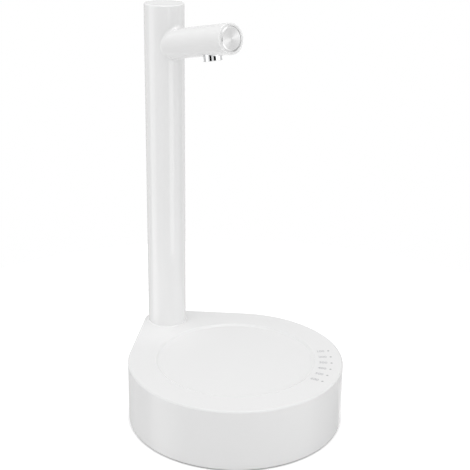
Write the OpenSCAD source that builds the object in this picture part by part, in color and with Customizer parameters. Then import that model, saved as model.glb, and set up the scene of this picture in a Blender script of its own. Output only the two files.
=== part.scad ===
// Desktop water dispenser: a pump base that stands beside a water jug, with a column, a spout and a button.
// Millimetres. +Z is up, the spout points to -Y, and the origin is the centre of the round base on the table.

/* [Base] */
// Radius of the round base
base_r = 70; // [66:1:80]
// Height of the base housing, from its lower edge to the deck
base_h = 40; // [38:1:60]
// Radius of the rear corner under the column
corner_r = 16; // [15.5:0.5:20]
// Wall of the base housing
wall = 2.2; // [1.6:0.1:2.6]
// Thickness of the deck
deck_t = 3.2; // [2.6:0.1:4]
// Rounding of the deck's outer edge
top_round = 1.2; // [0.4:0.1:2]
// Height of the foot pad below the housing's lower edge
foot_h = 1; // [0.8:0.1:4]
// Thickness of the bottom cover
cover_t = 2.2; // [1.6:0.1:3]

/* [Dish] */
// Radius of the cup dish at the deck
dish_r = 52.5; // [40:0.5:56]
// Depth of the dish
dish_depth = 1.2; // [0.6:0.1:1.8]
// Width of the dish's rounded edge
dish_edge = 2.8; // [2:0.1:5]

/* [Indicators] */
// Number of indicator dots
dot_count = 6; // [2:1:7]
// Radius of one dot
dot_r = 0.7; // [0.4:0.1:1.2]
// Distance of the dots' arc inside the edge of the base
dot_inset = 7.4; // [7:0.2:12]
// Angle of the first dot, from the +X axis
dot_start = -29; // [-35:1:-25]
// Angle between two dots
dot_step = 8; // [5:0.5:9]

/* [Column] */
// Radius of the column
column_r = 13; // [11:0.1:13.2]
// Wall of the column
column_wall = 1.2; // [0.8:0.1:2]
// Distance of the column's axis behind the centre of the base
column_y = 75.5; // [72:0.5:90]
// Top of the column above the housing's lower edge
column_top = 260; // [200:1:340]
// Thickness of the column's cap
cap_t = 2; // [1.2:0.1:4]
// Rounding of the cap's edge
cap_round = 0.8; // [0.3:0.1:1.2]
// Depth of the socket in the base that holds the column
socket_depth = 16; // [10:0.5:17]

/* [Spout] */
// Radius of the spout
spout_r = 9.5; // [9.2:0.1:11]
// Wall of the spout
spout_wall = 1; // [0.9:0.1:1.4]
// Upward tilt of the spout
spout_tilt = 11.7; // [0:0.1:20]
// Horizontal reach of the spout's end from the column's axis
spout_reach = 67.2; // [60:0.2:90]
// Drop from the column's top to the centre of the spout's end
spout_drop = 12.8; // [10:0.2:40]

/* [Nozzle] */
// Radius of the nozzle
nozzle_r = 5.6; // [5:0.1:6.4]
// Radius of the nozzle's bore
nozzle_bore_r = 3.9; // [3:0.1:4.2]
// Distance of the nozzle behind the spout's end
nozzle_setback = 19.9; // [19.9:0.1:30]
// Length of nozzle that shows below the spout
nozzle_drop = 2.7; // [2:0.1:12]

/* [Button] */
// Thickness of the collar round the button
collar_t = 0.75; // [0.5:0.05:1.2]
// Gap between the button and its collar
button_gap = 0.15; // [0.1:0.05:0.3]
// Width of the button's polished bevel
bevel_w = 0.9; // [0.4:0.1:2]
// Depth of the bevel
bevel_d = 0.5; // [0.2:0.1:1.2]
// Height of the button's face above the spout's rim
button_proud = 0.4; // [-0.3:0.1:0.6]
// Travel of the button
button_travel = 0.9; // [0.3:0.1:1]

/* [Pump] */
// Module of the pump gears
gear_module = 1; // [0.9:0.02:1.06]
// Number of teeth of each gear
gear_teeth = 12; // [12:1:13]
// Width of the gears
gear_w = 8; // [5:0.5:10]
// Wall of the pump body round the gear chamber
pump_wall = 4; // [3.6:0.1:4.6]
// Radius of the motor
motor_r = 12.2; // [11.8:0.1:13]
// Length of the motor's can
motor_l = 30.8; // [26:0.2:34]
// Radius of the motor's shaft
shaft_r = 1; // [0.8:0.05:1.2]

/* [Battery] */
// Radius of the cell
cell_r = 9.2; // [8.5:0.1:10.5]
// Length of the cell
cell_l = 65; // [50:0.5:70]

/* [Ports] */
// Radius of the spigot that takes the water hose
hose_r = 4; // [3:0.1:5]
// Length of the spigot
hose_l = 12; // [8:0.5:20]
// Distance of the hose inlet in front of the column, along the rear flank
hose_back = 22.8; // [21:0.2:26]
// Place of the charge port, as a share of the rear flank's length
charge_share = 0.19; // [0.15:0.01:0.23]
// Inner radius of the silicone tubes
tube_ir = 2.65; // [2.4:0.05:3]
// Wall of the silicone tubes
tube_wall = 1.05; // [0.8:0.05:1.2]

/* [Fits] */
// Radial clearance between pieces that are put together and stay
slip = 0.1; // [0.05:0.01:0.15]
// Radial clearance of a shaft that turns or slides in its hole
running = 0.05; // [0.02:0.01:0.08]
// Radial clearance of a pressed joint
press = 0.01; // [0.005:0.001:0.02]

/* [Hidden] */
$fn = 96;

// Overlap of cutters and of joined solids
eps = 0.5;
far = 400;

// Levels of the base
z_base = foot_h;
z_deck = foot_h + base_h;
z_under = z_deck - deck_t;
cover_gap = 0.3;
z_cover = foot_h + cover_gap;
cover_top = z_cover + cover_t;
z_top = foot_h + column_top;

// Teardrop outline: direction of the flanks' outward normals, and the flanks' length
lean = asin((base_r - corner_r) / column_y);
flank_l = sqrt(column_y * column_y - (base_r - corner_r) * (base_r - corner_r));
// The flanks lie this far inside the tangent line, with more rounding, so that they cross both rounds
flank_sink = 0.02;
flank_round = 1.05;
// Rounds of the dish's edge. The raised one is a little larger, so it meets the deck at a slight angle
dish_bend = (pow(dish_edge, 2) + pow(dish_depth, 2)) / (4 * dish_depth);
lip_grow = 1.05;
hose_place = flank_l - hose_back;
charge_place = charge_share * flank_l;
cover_clear = 0.15;
pad_inset = wall + 0.4;
pad_groove_r = [22, 36, 50];
pad_groove = 0.5;

// Column socket and the plug that holds the column in it
z_seat = z_deck - socket_depth;
ledge_t = 3;
z_ledge = z_seat - ledge_t;
socket_r = column_r + running + 2.2;
column_ir = column_r - column_wall;
plug_h = 13;
pass_r = 6.6;
column_screw_at = (pass_r + column_ir) / 2;
cap_plug_h = 6;

// Screws: shank, head and pilot hole
screw_r = 1.4;
screw_head_r = 2.6;
screw_head_t = 1.5;
small_r = 1;
small_head_r = 1.9;
small_head_t = 1.1;
thread_bite = 0.02;

// Bosses that take the cover screws
boss_r = 3.4;
boss_at = base_r - 9;
boss_angles = [5, 175, 262];
rear_boss = [-0.36 * base_r, column_y - 15.5];
boss_places = concat([for (a = boss_angles) boss_at * [cos(a), sin(a)]], [rear_boss]);
boss_pad_r = 4.4;
boss_pad_t = 1.5;
z_boss = cover_top + boss_pad_t;
cover_screw_l = 9;

// Stiffening ribs under the deck
rib_t = 1.4;
rib_h = 2.4;
rib_ring_r = 46;
rib_angles = [-8, 25, 155, 188, 215, 240];

// Control board, hung from the deck under the dots
dot_arc_r = base_r - dot_inset;
board_t = 1.2;
board_drop = 3.8;
z_board = z_under - board_drop;
board_in_r = dot_arc_r - 12;
board_out_r = dot_arc_r + 3;
board_margin = 9;
board_span = dot_step * (dot_count - 1) + 2 * board_margin;
board_start = dot_start + board_margin - board_span;
board_screw_r = board_in_r + 3;
board_screw_angles = [for (f = [0.1, 0.5, 0.9]) board_start + f * board_span];
board_boss_r = 2.4;
led_size = [2, 1.6, 0.8];
lens_gap = 0.3;
lens_flange_r = 1.5;
lens_flange_t = 1;
chip_h = 1.2;
chip_size = 7;
chip_at = board_in_r + 5.5;
plug_size = [8, 4, 5];
plug_at = board_in_r + 9;
z_plug = z_board - board_t - plug_size[2];
motor_plug_a = board_start + 0.62 * board_span;
switch_plug_a = board_start + 0.82 * board_span;
cell_pads = [board_start + 0.3 * board_span, board_start + 0.38 * board_span];
cell_pad_at = board_in_r + 4;

// Pump and motor: the pump axis runs along -X from the motor's face
sleeve_t = 1.4;
sleeve_r = motor_r + sleeve_t;
saddle_t = 2.3;
pump_x = -4;
pump_y = 8;
pump_z = cover_top + saddle_t + sleeve_r;
pitch_r = gear_module * gear_teeth / 2;
gear_gap = 2 * pitch_r;
addendum = 0.9 * gear_module;
dedendum = 1.15 * gear_module;
pressure_angle = 28;
backlash = 0.14;
tip_clear = 0.15;
chamber_r = pitch_r + addendum + tip_clear;
pump_r = chamber_r + pump_wall;
front_t = 6;
end_clear = 0.1;
chamber_l = gear_w + 2 * end_clear;
gasket_t = 0.5;
pump_cover_t = 4.5;
z_gasket = front_t + chamber_l;
z_pump_cover = z_gasket + gasket_t;
pump_end = z_pump_cover + pump_cover_t;
blind = 3;
port_off = 5;
port_r = 1.8;
pocket_r = 2.2;
tube_sides = 12;
barb_r = tube_ir * cos(180 / tube_sides) - running;
barb_l = 10;
pump_screw_at = chamber_r + pump_wall / 2;
pump_screw_lean = 55;
pump_screw_l = 14;
pin_r = 1.5;
skirt_l = 6;
skirt_t = 1.6;
seal_r = 4;
seal_t = 2;
motor_boss_r = 4;
motor_boss_h = 1.2;
can_t = 1;
end_cap_t = 2;
end_boss_h = 2;
bush_r = 2.4;
bush_l = 2.4;
magnet_t = 2.4;
magnet_gap = 0.05;
magnet_span = 130;
magnet_ends = 4.2;
air_gap = 0.45;
armature_r = motor_r - can_t - magnet_gap - magnet_t - air_gap;
armature_l = motor_l - 15.8;
armature_at = -6;
pole_count = 3;
pole_span = 98;
pole_shoe_t = 1.4;
pole_neck = 2.4;
pole_hub_r = 2.8;
coil_t = 1.9;
coil_gap = 0.05;
commutator_r = 2.6;
commutator_l = 4;
tab_size = [0.5, 3, 4];
tab_at = 7;

// Saddles, strap and posts of the motor
sleeve_l = 20;
sleeve_at = -skirt_l - 0.4;
saddle_l = 4;
saddle_places = [sleeve_at - 2 - saddle_l, sleeve_at - sleeve_l + 2];
strap_l = 6;
strap_at = sleeve_at - (sleeve_l + strap_l) / 2;
strap_t = 1.2;
strap_r = sleeve_r + running + strap_t;
strap_foot = 8;
strap_post_h = 8;
z_strap = cover_top + strap_post_h;
strap_screw_l = 6;
rest_size = [6, 10];

// Battery
cell_y = -34;
cell_round = 0.8;
holder_t = 1.5;
holder_clear = 0.3;
contact_t = 0.5;
contact_gap = 1;
contact_size = 12;
holder_h = 13;
z_cell = cover_top + holder_t + cell_r + slip;
nub_r = 2.8;
nub_h = contact_gap - 0.1;
bump_h = contact_gap - 0.1;

// Hose inlet and charge port on the rear flank
z_hose = pump_z + port_off;
hose_collar_r = 7;
hose_collar_t = 2;
hose_body_r = 5;
hose_bore_r = 1.9;
hose_lead = 0.6;
hose_root = 0.5;
hose_seal_t = 1;
hose_nut_r = 7.6;
hose_nut_t = 3.5;
hose_body_l = wall + hose_seal_t + hose_nut_t + 0.5;
port_w = 8.94;
port_h = 3.26;
port_l = 7.35;
port_skin = 0.3;
port_sink = 0.4;
port_clear = 0.2;
tongue = [0.7, 6.2, 5];
z_charge = cover_top + 8;
charge_board_size = [13, 12, 1];

// Spout: its end point, and the pieces along its axis, measured back from its rim
spout_end = [0, column_y - spout_reach, z_top - spout_drop];
spout_l = spout_reach / cos(spout_tilt);
spout_ir = spout_r - spout_wall;
rim_round = 0.5;
rim_chamfer = 0.1;
weld_gap = 0.05;
spout_pass_r = spout_ir - 0.3;
collar_sink = 0.05;
button_r = spout_ir - running - collar_t - button_gap;
button_t = 1;
button_skirt = 2.7;
stem_r = 2;
stem_head_r = 2.8;
stem_head_t = 0.8;
guide_t = 1.8;
guide_gap = 0.7;
clip_t = 0.6;
clip_gap = 0.2;
clip_r = 3.2;
clip_neck = 0.5;
stem_tail = 1;
switch_gap = 0.1;
actuator_h = 0.5;
actuator_r = 1.2;
switch_body = [4.5, 4.5, 1.9];
switch_board_t = 0.8;
housing_lip = 0.6;
s_face = -button_proud;
s_under = s_face + button_t;
s_skirt = s_face + button_skirt;
s_guide = s_skirt + button_travel + guide_gap;
s_guide_back = s_guide + guide_t;
s_clip = s_guide_back + clip_gap;
s_stem = s_clip + clip_t + stem_tail;
s_actuator = s_stem + button_travel + switch_gap;
s_switch = s_actuator + actuator_h;
s_board = s_switch + switch_body[2];
s_housing = s_board + switch_board_t + housing_lip;
pocket_wall = 1.7;

// Button spring
spring_wire = 0.25;
spring_r = 4.3;
spring_turns = 3;
spring_rings = 8;
spring_sides = 6;
spring_l = s_guide - s_under;
spring_rise = (spring_l - 2 * spring_wire) / spring_turns;

// Nozzle: lengths are measured down from the spout's axis
nozzle_end = spout_r + nozzle_drop;
shank_r = nozzle_r - 1;
shank_top = 2.2;
lip_w = 0.2;
lip_h = 0.7;
lip_round = 0.3;
screen_at = nozzle_end - 5.5;
screen_t = 0.6;
screen_hole_r = 0.42;
screen_pitch = 1.35;
throat_r = 2.4;
elbow_half = 6.5;
elbow_flat = 4.15;

// Tubes and leads. Routes are chosen points between the fittings that they join
tube_r = tube_ir + tube_wall;
tube_bend = 9;
tube_steps = 5;
tube_start_gap = 0.4;
riser_y = column_y + 2.5;
lead_r = 0.5;
lead_sides = 8;
lead_bend = 3;
lead_steps = 4;
lead_x = 4.8;
lead_up = 4.75;
lead_pitch = 2;
lead_rise = 7;
lead_fan = 40;
suction_reach = 38;
tube_x = -base_r + 24;
tube_y = 43;
tube_back = 32;
riser_lead = 18;

function unit(v) = v / norm(v);

// A point in the spout: sideways, up and back from the rim
function spout_point(x, up, s) = spout_end + [
    x,
    s * cos(spout_tilt) + up * sin(spout_tilt),
    up * cos(spout_tilt) - s * sin(spout_tilt)
];

// A point on the rear flank, along it, out of it and up
function flank_point(along, out, z) = [
    (base_r - flank_sink + out) * cos(lean) - along * sin(lean),
    (base_r - flank_sink + out) * sin(lean) + along * cos(lean),
    z
];

// A point of the pump: up and across its axis, and along it from the motor's face
function pump_point(up, across, along) = [pump_x - along, pump_y + across, pump_z + up];

// Arc of radius r that rounds the corner b between a and c
function corner_arc(a, b, c, r, steps) =
    let (
        d1 = unit(a - b),
        d2 = unit(c - b),
        half = acos(d1 * d2) / 2,
        sweep = 180 - 2 * half,
        centre = b + unit(d1 + d2) * r / sin(half),
        v1 = b + d1 * r / tan(half) - centre,
        v2 = b + d2 * r / tan(half) - centre
    )
    [
        for (i = [0:steps])
            centre + (sin((1 - i / steps) * sweep) * v1 + sin(i / steps * sweep) * v2) / sin(sweep)
    ];

function rounded_route(p, r, steps) = [
    p[0],
    for (i = [1:len(p) - 2]) each corner_arc(p[i - 1], p[i], p[i + 1], r, steps),
    p[len(p) - 1]
];

function route_tangent(p, i) =
    i == 0 ? unit(p[1] - p[0]) :
    i == len(p) - 1 ? unit(p[i] - p[i - 1]) :
    unit(unit(p[i + 1] - p[i]) + unit(p[i] - p[i - 1]));

// Side vectors carried along the route without twisting
function flatten_side(u, t) = unit(u - (u * t) * t);
function first_side(t) = flatten_side(abs(t[2]) < 0.8 ? [0, 0, 1] : [1, 0, 0], t);
function route_sides(p) = [
    for (i = 0, u = first_side(route_tangent(p, 0)); i < len(p);
        i = i + 1, u = flatten_side(u, route_tangent(p, min(i, len(p) - 1)))) u
];

// Closed tube along a route; r_in of 0 leaves it solid
module swept_tube(p, r_out, r_in, sides) {
    u = route_sides(p);
    n = len(p);
    function ring(i, r) = [
        for (k = [0:sides - 1])
            p[i] + r * (cos(360 * k / sides) * u[i] + sin(360 * k / sides) * cross(route_tangent(p, i), u[i]))
    ];
    function skin(base, flip) = [
        for (i = [0:n - 2], k = [0:sides - 1])
            let (
                a = base + i * sides + k,
                b = base + i * sides + (k + 1) % sides,
                c = b + sides,
                d = a + sides
            )
            each flip ? [[a, b, c], [a, c, d]] : [[a, c, b], [a, d, c]]
    ];
    inner = n * sides;
    last = (n - 1) * sides;
    function annulus(o, w, flip) = [
        for (k = [0:sides - 1])
            let (a = o + k, b = o + (k + 1) % sides, c = w + (k + 1) % sides, d = w + k)
            each flip ? [[a, c, b], [a, d, c]] : [[a, b, c], [a, c, d]]
    ];
    function disc(o, flip) = [
        for (k = [1:sides - 2]) flip ? [o, o + k + 1, o + k] : [o, o + k, o + k + 1]
    ];
    if (r_in > 0) {
        polyhedron(
            points = [for (i = [0:n - 1]) each ring(i, r_out), for (i = [0:n - 1]) each ring(i, r_in)],
            faces = concat(skin(0, false), skin(inner, true), annulus(0, inner, false),
                annulus(last, inner + last, true)));
    } else {
        polyhedron(
            points = [for (i = [0:n - 1]) each ring(i, r_out)],
            faces = concat(skin(0, false), disc(0, false), disc(last, true)));
    }
}

// Rectangle from the axis outwards, with its outer top corner rounded
module edge_profile(w, h, r) {
    if (r > 0) {
        square([w - r, h]);
        square([w, h - r]);
        translate([w - r, h - r])
            intersection() {
                circle(r);
                square(r);
            }
    } else {
        square([w, h]);
    }
}

// Teardrop outline, moved in by inset: a large and a small round with straight flanks
module teardrop_outline(inset) {
    main_r = base_r - inset;
    rear_r = corner_r - inset;
    out = [cos(lean), sin(lean)];
    front = (main_r - flank_sink) * out;
    rear = (rear_r - flank_sink) * out + [0, column_y];
    circle(main_r);
    translate([0, column_y])
        circle(rear_r);
    polygon([front, rear, [-rear[0], rear[1]], [-front[0], front[1]]]);
}

// Flat slab with the teardrop outline, between two levels
module teardrop_slab(inset, z0, z1) {
    translate([0, 0, z0])
        linear_extrude(z1 - z0)
            teardrop_outline(inset);
}

// Slab with the teardrop outline and a rounded top edge
module rounded_teardrop(z0, z1, r) {
    h = z1 - z0;
    translate([0, 0, z0]) {
        rotate_extrude()
            edge_profile(base_r, h, r);
        translate([0, column_y, 0])
            rotate_extrude()
                edge_profile(corner_r, h, r);
        for (side = [0, 1])
            mirror([side, 0, 0])
                intersection() {
                    rotate([0, 0, lean])
                        translate([0, flank_l, 0])
                            rotate([90, 0, 0])
                                linear_extrude(flank_l)
                                    edge_profile(base_r - flank_sink, h, flank_round * r);
                    translate([0, 0, -eps])
                        cube([far, far, h + 2 * eps]);
                }
    }
}

// Outline of two circles on the Y axis and the band between them
module capsule(r, span) {
    intersection() {
        circle(r);
        translate([-r, -r])
            square([2 * r, r]);
    }
    translate([-r, 0])
        square([2 * r, span]);
    translate([0, span])
        intersection() {
            circle(r);
            translate([-r, 0])
                square([2 * r, r]);
        }
}

// Frame of a point on the rear flank: Z points out of the housing, Y along the flank to the column
module on_flank(along, z) {
    rotate([0, 0, lean])
        translate([base_r - flank_sink, along, z])
            rotate([0, 90, 0])
                children();
}

// Frame of the pump: Z runs from the motor's face into the pump, X is up
module in_pump() {
    translate([pump_x, pump_y, pump_z])
        rotate([0, -90, 0])
            children();
}

// Frame of the spout: Z points out of its end, Y is up
module in_spout() {
    translate(spout_end)
        rotate([90 - spout_tilt, 0, 0])
            children();
}

// Frame of the nozzle: Z points down out of the spout
module in_nozzle() {
    in_spout()
        translate([0, 0, -nozzle_setback])
            rotate([90, 0, 0])
                children();
}

module at_bosses() {
    for (p = boss_places)
        translate([p[0], p[1], 0])
            children();
}

module at_board_screws() {
    for (a = board_screw_angles)
        translate([board_screw_r * cos(a), board_screw_r * sin(a), 0])
            children();
}

module at_dots() {
    for (i = [0:dot_count - 1])
        rotate([0, 0, dot_start - i * dot_step])
            translate([dot_arc_r, 0, 0])
                children();
}

module at_column_screws() {
    for (side = [-1, 1])
        translate([side * column_screw_at, column_y, 0])
            children();
}

module at_pump_screws() {
    for (side = [-1, 1]) {
        translate([side * pump_screw_at * sin(pump_screw_lean), -pump_screw_at * cos(pump_screw_lean), 0])
            children();
        translate([
            side * pump_screw_at * sin(pump_screw_lean),
            gear_gap + pump_screw_at * cos(pump_screw_lean),
            0
        ])
            children();
    }
}

module at_strap_screws() {
    for (side = [-1, 1])
        translate([
            pump_x - strap_at - strap_l / 2,
            pump_y + side * (strap_r + strap_foot / 2),
            0
        ])
            children();
}

// Pan-head screw with its head on Z = 0 and its shank pointing up
module screw(r, l, head_r, head_t) {
    recess_w = head_r * 1.1;
    slot_w = head_r * 0.28;
    difference() {
        union() {
            cylinder(r = r, h = l);
            translate([0, 0, -head_t])
                cylinder(r = head_r, h = head_t);
        }
        for (a = [0, 90])
            rotate([0, 0, a])
                translate([-recess_w / 2, -slot_w / 2, -head_t - eps])
                    cube([recess_w, slot_w, head_t * 0.5 + eps]);
    }
}

// Half of the dish below the deck: a flat floor, a hollow round and a raised round that flow into each other
module dish_profile() {
    low = [dish_r - dish_edge, dish_bend - dish_depth];
    joint = [dish_r - dish_edge / 2, -dish_depth / 2];
    translate([0, -dish_depth])
        square([low[0], dish_depth + eps]);
    intersection() {
        translate(low)
            circle(dish_bend);
        translate([low[0], -dish_depth])
            square([dish_edge / 2, dish_depth + eps]);
    }
    difference() {
        translate([joint[0], -dish_depth])
            square([dish_edge / 2, dish_depth + eps]);
        translate(joint + lip_grow * (joint - low))
            circle(lip_grow * dish_bend);
    }
}

module base_housing() {
    color("white")
        difference() {
            union() {
                difference() {
                    rounded_teardrop(z_base, z_deck, top_round);
                    teardrop_slab(wall, z_base - eps, z_under);
                }
                translate([0, column_y, z_ledge])
                    cylinder(r = socket_r, h = z_under - z_ledge + eps);
                at_bosses()
                    translate([0, 0, z_boss])
                        cylinder(r = boss_r, h = z_under - z_boss + eps);
                at_board_screws()
                    translate([0, 0, z_board])
                        cylinder(r = board_boss_r, h = board_drop + eps);
                translate([0, 0, z_under - rib_h])
                    difference() {
                        cylinder(r = rib_ring_r + rib_t, h = rib_h + eps);
                        translate([0, 0, -eps])
                            cylinder(r = rib_ring_r, h = rib_h + 3 * eps);
                    }
                for (a = rib_angles)
                    rotate([0, 0, a])
                        translate([rib_ring_r + rib_t / 2, -rib_t / 2, z_under - 0.8 * rib_h])
                            cube([base_r - rib_ring_r - rib_t / 2 - wall / 2, rib_t, 0.8 * rib_h + eps / 2]);
            }
            translate([0, 0, z_deck])
                rotate_extrude()
                    dish_profile();
            translate([0, column_y, z_seat])
                cylinder(r = column_r + running, h = socket_depth + eps);
            translate([0, column_y, z_ledge - eps])
                cylinder(r = pass_r, h = ledge_t + 2 * eps);
            at_column_screws()
                translate([0, 0, z_ledge - eps])
                    cylinder(r = screw_r + slip, h = ledge_t + 2 * eps);
            at_bosses()
                translate([0, 0, z_boss - eps])
                    cylinder(r = screw_r + thread_bite, h = cover_screw_l + eps);
            at_board_screws()
                translate([0, 0, z_board - eps])
                    cylinder(r = small_r + thread_bite, h = board_drop + eps);
            at_dots()
                translate([0, 0, z_under - eps])
                    cylinder(r = dot_r + running, h = deck_t + 2 * eps);
            on_flank(hose_place, z_hose)
                translate([0, 0, -wall - eps])
                    cylinder(r = hose_body_r + slip, h = wall + 2 * eps);
            on_flank(charge_place, z_charge)
                translate([0, -(port_w - port_h) / 2, -wall - eps])
                    linear_extrude(wall + 2 * eps)
                        capsule(port_h / 2 + port_clear, port_w - port_h);
        }
}

module bottom_cover() {
    color("whitesmoke")
        difference() {
            union() {
                teardrop_slab(wall + cover_clear, z_cover, cover_top);
                at_bosses()
                    translate([0, 0, cover_top - eps])
                        cylinder(r = boss_pad_r, h = boss_pad_t + eps);
                for (z = saddle_places)
                    in_pump()
                        translate([cover_top - eps - pump_z, -sleeve_r - saddle_t, z])
                            cube([pump_z - cover_top + eps, 2 * (sleeve_r + saddle_t), saddle_l]);
                at_strap_screws()
                    translate([-strap_l / 2, -strap_foot / 2, cover_top - eps])
                        cube([strap_l, strap_foot, strap_post_h + eps]);
                in_pump()
                    translate([cover_top - eps - pump_z, (gear_gap - rest_size[1]) / 2, front_t])
                        cube([pump_z - cover_top - pump_r - slip + eps, rest_size[1], rest_size[0]]);
                on_flank(charge_place, z_charge)
                    translate([port_h / 2 + charge_board_size[2], -charge_board_size[0] / 2,
                        -port_sink - charge_board_size[1] + 1 - wall])
                        cube([z_charge - cover_top - port_h / 2 - charge_board_size[2] + eps,
                            charge_board_size[0], charge_board_size[1] - 1]);
            }
            in_pump()
                translate([0, 0, min(saddle_places) - eps])
                    cylinder(r = sleeve_r + running, h = sleeve_l);
            at_strap_screws()
                translate([0, 0, z_strap - strap_screw_l])
                    cylinder(r = screw_r + thread_bite, h = strap_screw_l + eps);
            at_bosses() {
                translate([0, 0, z_cover - eps])
                    cylinder(r = screw_r + slip, h = far);
                translate([0, 0, z_cover - eps])
                    cylinder(r = screw_head_r + slip, h = screw_head_t + slip + eps);
            }
        }
}

module foot_pad() {
    color("dimgray")
        difference() {
            teardrop_slab(pad_inset, 0, z_cover);
            for (r = pad_groove_r)
                translate([0, 0, -eps])
                    difference() {
                        cylinder(r = r + 1, h = pad_groove + eps);
                        translate([0, 0, -eps])
                            cylinder(r = r, h = pad_groove + 3 * eps);
                    }
        }
}

module cover_screws() {
    color("silver")
        at_bosses()
            translate([0, 0, z_cover + screw_head_t + slip])
                screw(screw_r, cover_screw_l, screw_head_r, screw_head_t);
}

module indicator_lenses() {
    color("lightgray")
        at_dots() {
            translate([0, 0, z_under - slip])
                cylinder(r = dot_r, h = deck_t + slip);
            translate([0, 0, z_under - slip - lens_flange_t])
                cylinder(r = lens_flange_r, h = lens_flange_t);
            translate([0, 0, z_board + led_size[2] + lens_gap])
                cylinder(r = dot_r, h = board_drop - led_size[2] - lens_gap - slip - eps / 10);
        }
}

module control_board() {
    color("seagreen")
        difference() {
            rotate([0, 0, board_start])
                rotate_extrude(angle = board_span)
                    translate([board_in_r, z_board - board_t])
                        square([board_out_r - board_in_r, board_t]);
            at_board_screws()
                translate([0, 0, z_board - board_t - eps])
                    cylinder(r = small_r + slip, h = board_t + 2 * eps);
        }
}

module board_screws() {
    color("silver")
        at_board_screws()
            translate([0, 0, z_board - board_t])
                screw(small_r, board_t + board_drop - 1, small_head_r, small_head_t);
}

module board_chips() {
    color("black") {
        rotate([0, 0, board_start + 0.3 * board_span])
            translate([chip_at, -chip_size / 2, z_board - board_t - chip_h])
                cube([chip_size, chip_size, chip_h]);
        for (a = [motor_plug_a, switch_plug_a])
            rotate([0, 0, a])
                translate([plug_at - plug_size[1] / 2, -plug_size[0] / 2, z_plug])
                    cube([plug_size[1], plug_size[0], plug_size[2]]);
    }
}

module indicator_leds() {
    color("lemonchiffon")
        at_dots()
            translate([-led_size[0] / 2, -led_size[1] / 2, z_board])
                cube(led_size);
}

module charge_port() {
    color("silver")
        on_flank(charge_place, z_charge)
            translate([0, -(port_w - port_h) / 2, -port_sink - port_l]) {
                difference() {
                    linear_extrude(port_l)
                        capsule(port_h / 2, port_w - port_h);
                    translate([0, 0, 1])
                        linear_extrude(port_l)
                            capsule(port_h / 2 - port_skin, port_w - port_h);
                }
                translate([-tongue[0] / 2, (port_w - port_h - tongue[1]) / 2, 0])
                    cube(tongue);
            }
}

module charge_board() {
    color("seagreen")
        on_flank(charge_place, z_charge)
            translate([port_h / 2, -charge_board_size[0] / 2, -port_sink - charge_board_size[1] - wall])
                cube([charge_board_size[2], charge_board_size[0], charge_board_size[1]]);
}

module battery_cell() {
    color("steelblue")
        translate([-cell_l / 2, cell_y, z_cell])
            rotate([0, 90, 0]) {
                rotate_extrude()
                    translate([0, cell_round])
                        edge_profile(cell_r, cell_l - cell_round, cell_round);
                cylinder(r = cell_r - cell_round, h = 2 * cell_round);
                translate([0, 0, cell_l - eps])
                    cylinder(r = nub_r, h = nub_h + eps);
            }
}

module battery_holder() {
    inner_l = cell_l + 2 * (contact_gap + contact_t) + 2 * slip;
    outer_l = inner_l + 2 * holder_t;
    outer_w = 2 * (cell_r + holder_clear + holder_t);
    color("dimgray")
        difference() {
            translate([-outer_l / 2, cell_y - outer_w / 2, cover_top])
                cube([outer_l, outer_w, holder_h]);
            translate([-inner_l / 2, cell_y, z_cell])
                rotate([0, 90, 0])
                    cylinder(r = cell_r + slip, h = inner_l);
            translate([-inner_l / 2, cell_y - cell_r - holder_clear, z_cell])
                cube([inner_l, 2 * (cell_r + holder_clear), holder_h]);
            for (side = [-1, 1])
                translate([
                    side * (inner_l - contact_t) / 2 - contact_t / 2 - slip,
                    cell_y - contact_size / 2 - slip,
                    z_cell - contact_size / 2 - slip
                ])
                    cube([contact_t + 2 * slip, contact_size + 2 * slip, holder_h]);
        }
}

module battery_contacts() {
    inner_l = cell_l + 2 * (contact_gap + contact_t);
    color("silver")
        for (side = [0, 1])
            mirror([side, 0, 0]) {
                translate([inner_l / 2 - contact_t, cell_y - contact_size / 2, z_cell - contact_size / 2])
                    cube([contact_t, contact_size, contact_size]);
                if (side == 1)
                    translate([inner_l / 2 - contact_t - bump_h, cell_y, z_cell])
                        rotate([0, 90, 0])
                            cylinder(r = nub_r, h = bump_h + contact_t / 2);
            }
}

// Chamber of the two gears with its port pockets
module chamber_shape() {
    circle(chamber_r);
    translate([0, gear_gap])
        circle(chamber_r);
    for (side = [-1, 1])
        translate([side * port_off, gear_gap / 2])
            circle(pocket_r);
}

module pump_body() {
    color("ivory")
        in_pump()
            difference() {
                union() {
                    linear_extrude(front_t + chamber_l)
                        capsule(pump_r, gear_gap);
                    translate([0, 0, -skirt_l])
                        cylinder(r = motor_r + slip + skirt_t, h = skirt_l + front_t / 2);
                }
                translate([0, 0, -skirt_l - eps])
                    cylinder(r = motor_r + slip, h = skirt_l + eps);
                translate([0, 0, -eps])
                    cylinder(r = seal_r + slip, h = motor_boss_h + seal_t + 2 * slip + eps);
                cylinder(r = shaft_r + 2 * running, h = front_t + eps);
                translate([0, 0, front_t])
                    linear_extrude(chamber_l + eps)
                        chamber_shape();
                translate([0, gear_gap, front_t - blind])
                    cylinder(r = pin_r + press, h = blind + eps);
                at_pump_screws()
                    translate([0, 0, pump_end - pump_screw_l])
                        cylinder(r = small_r + thread_bite, h = pump_screw_l);
            }
}

module pump_gasket() {
    color("black")
        in_pump()
            translate([0, 0, z_gasket])
                difference() {
                    linear_extrude(gasket_t)
                        capsule(pump_r, gear_gap);
                    translate([0, 0, -eps])
                        linear_extrude(gasket_t + 2 * eps)
                            chamber_shape();
                    at_pump_screws()
                        translate([0, 0, -eps])
                            cylinder(r = small_r + slip, h = gasket_t + 2 * eps);
                }
}

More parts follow.
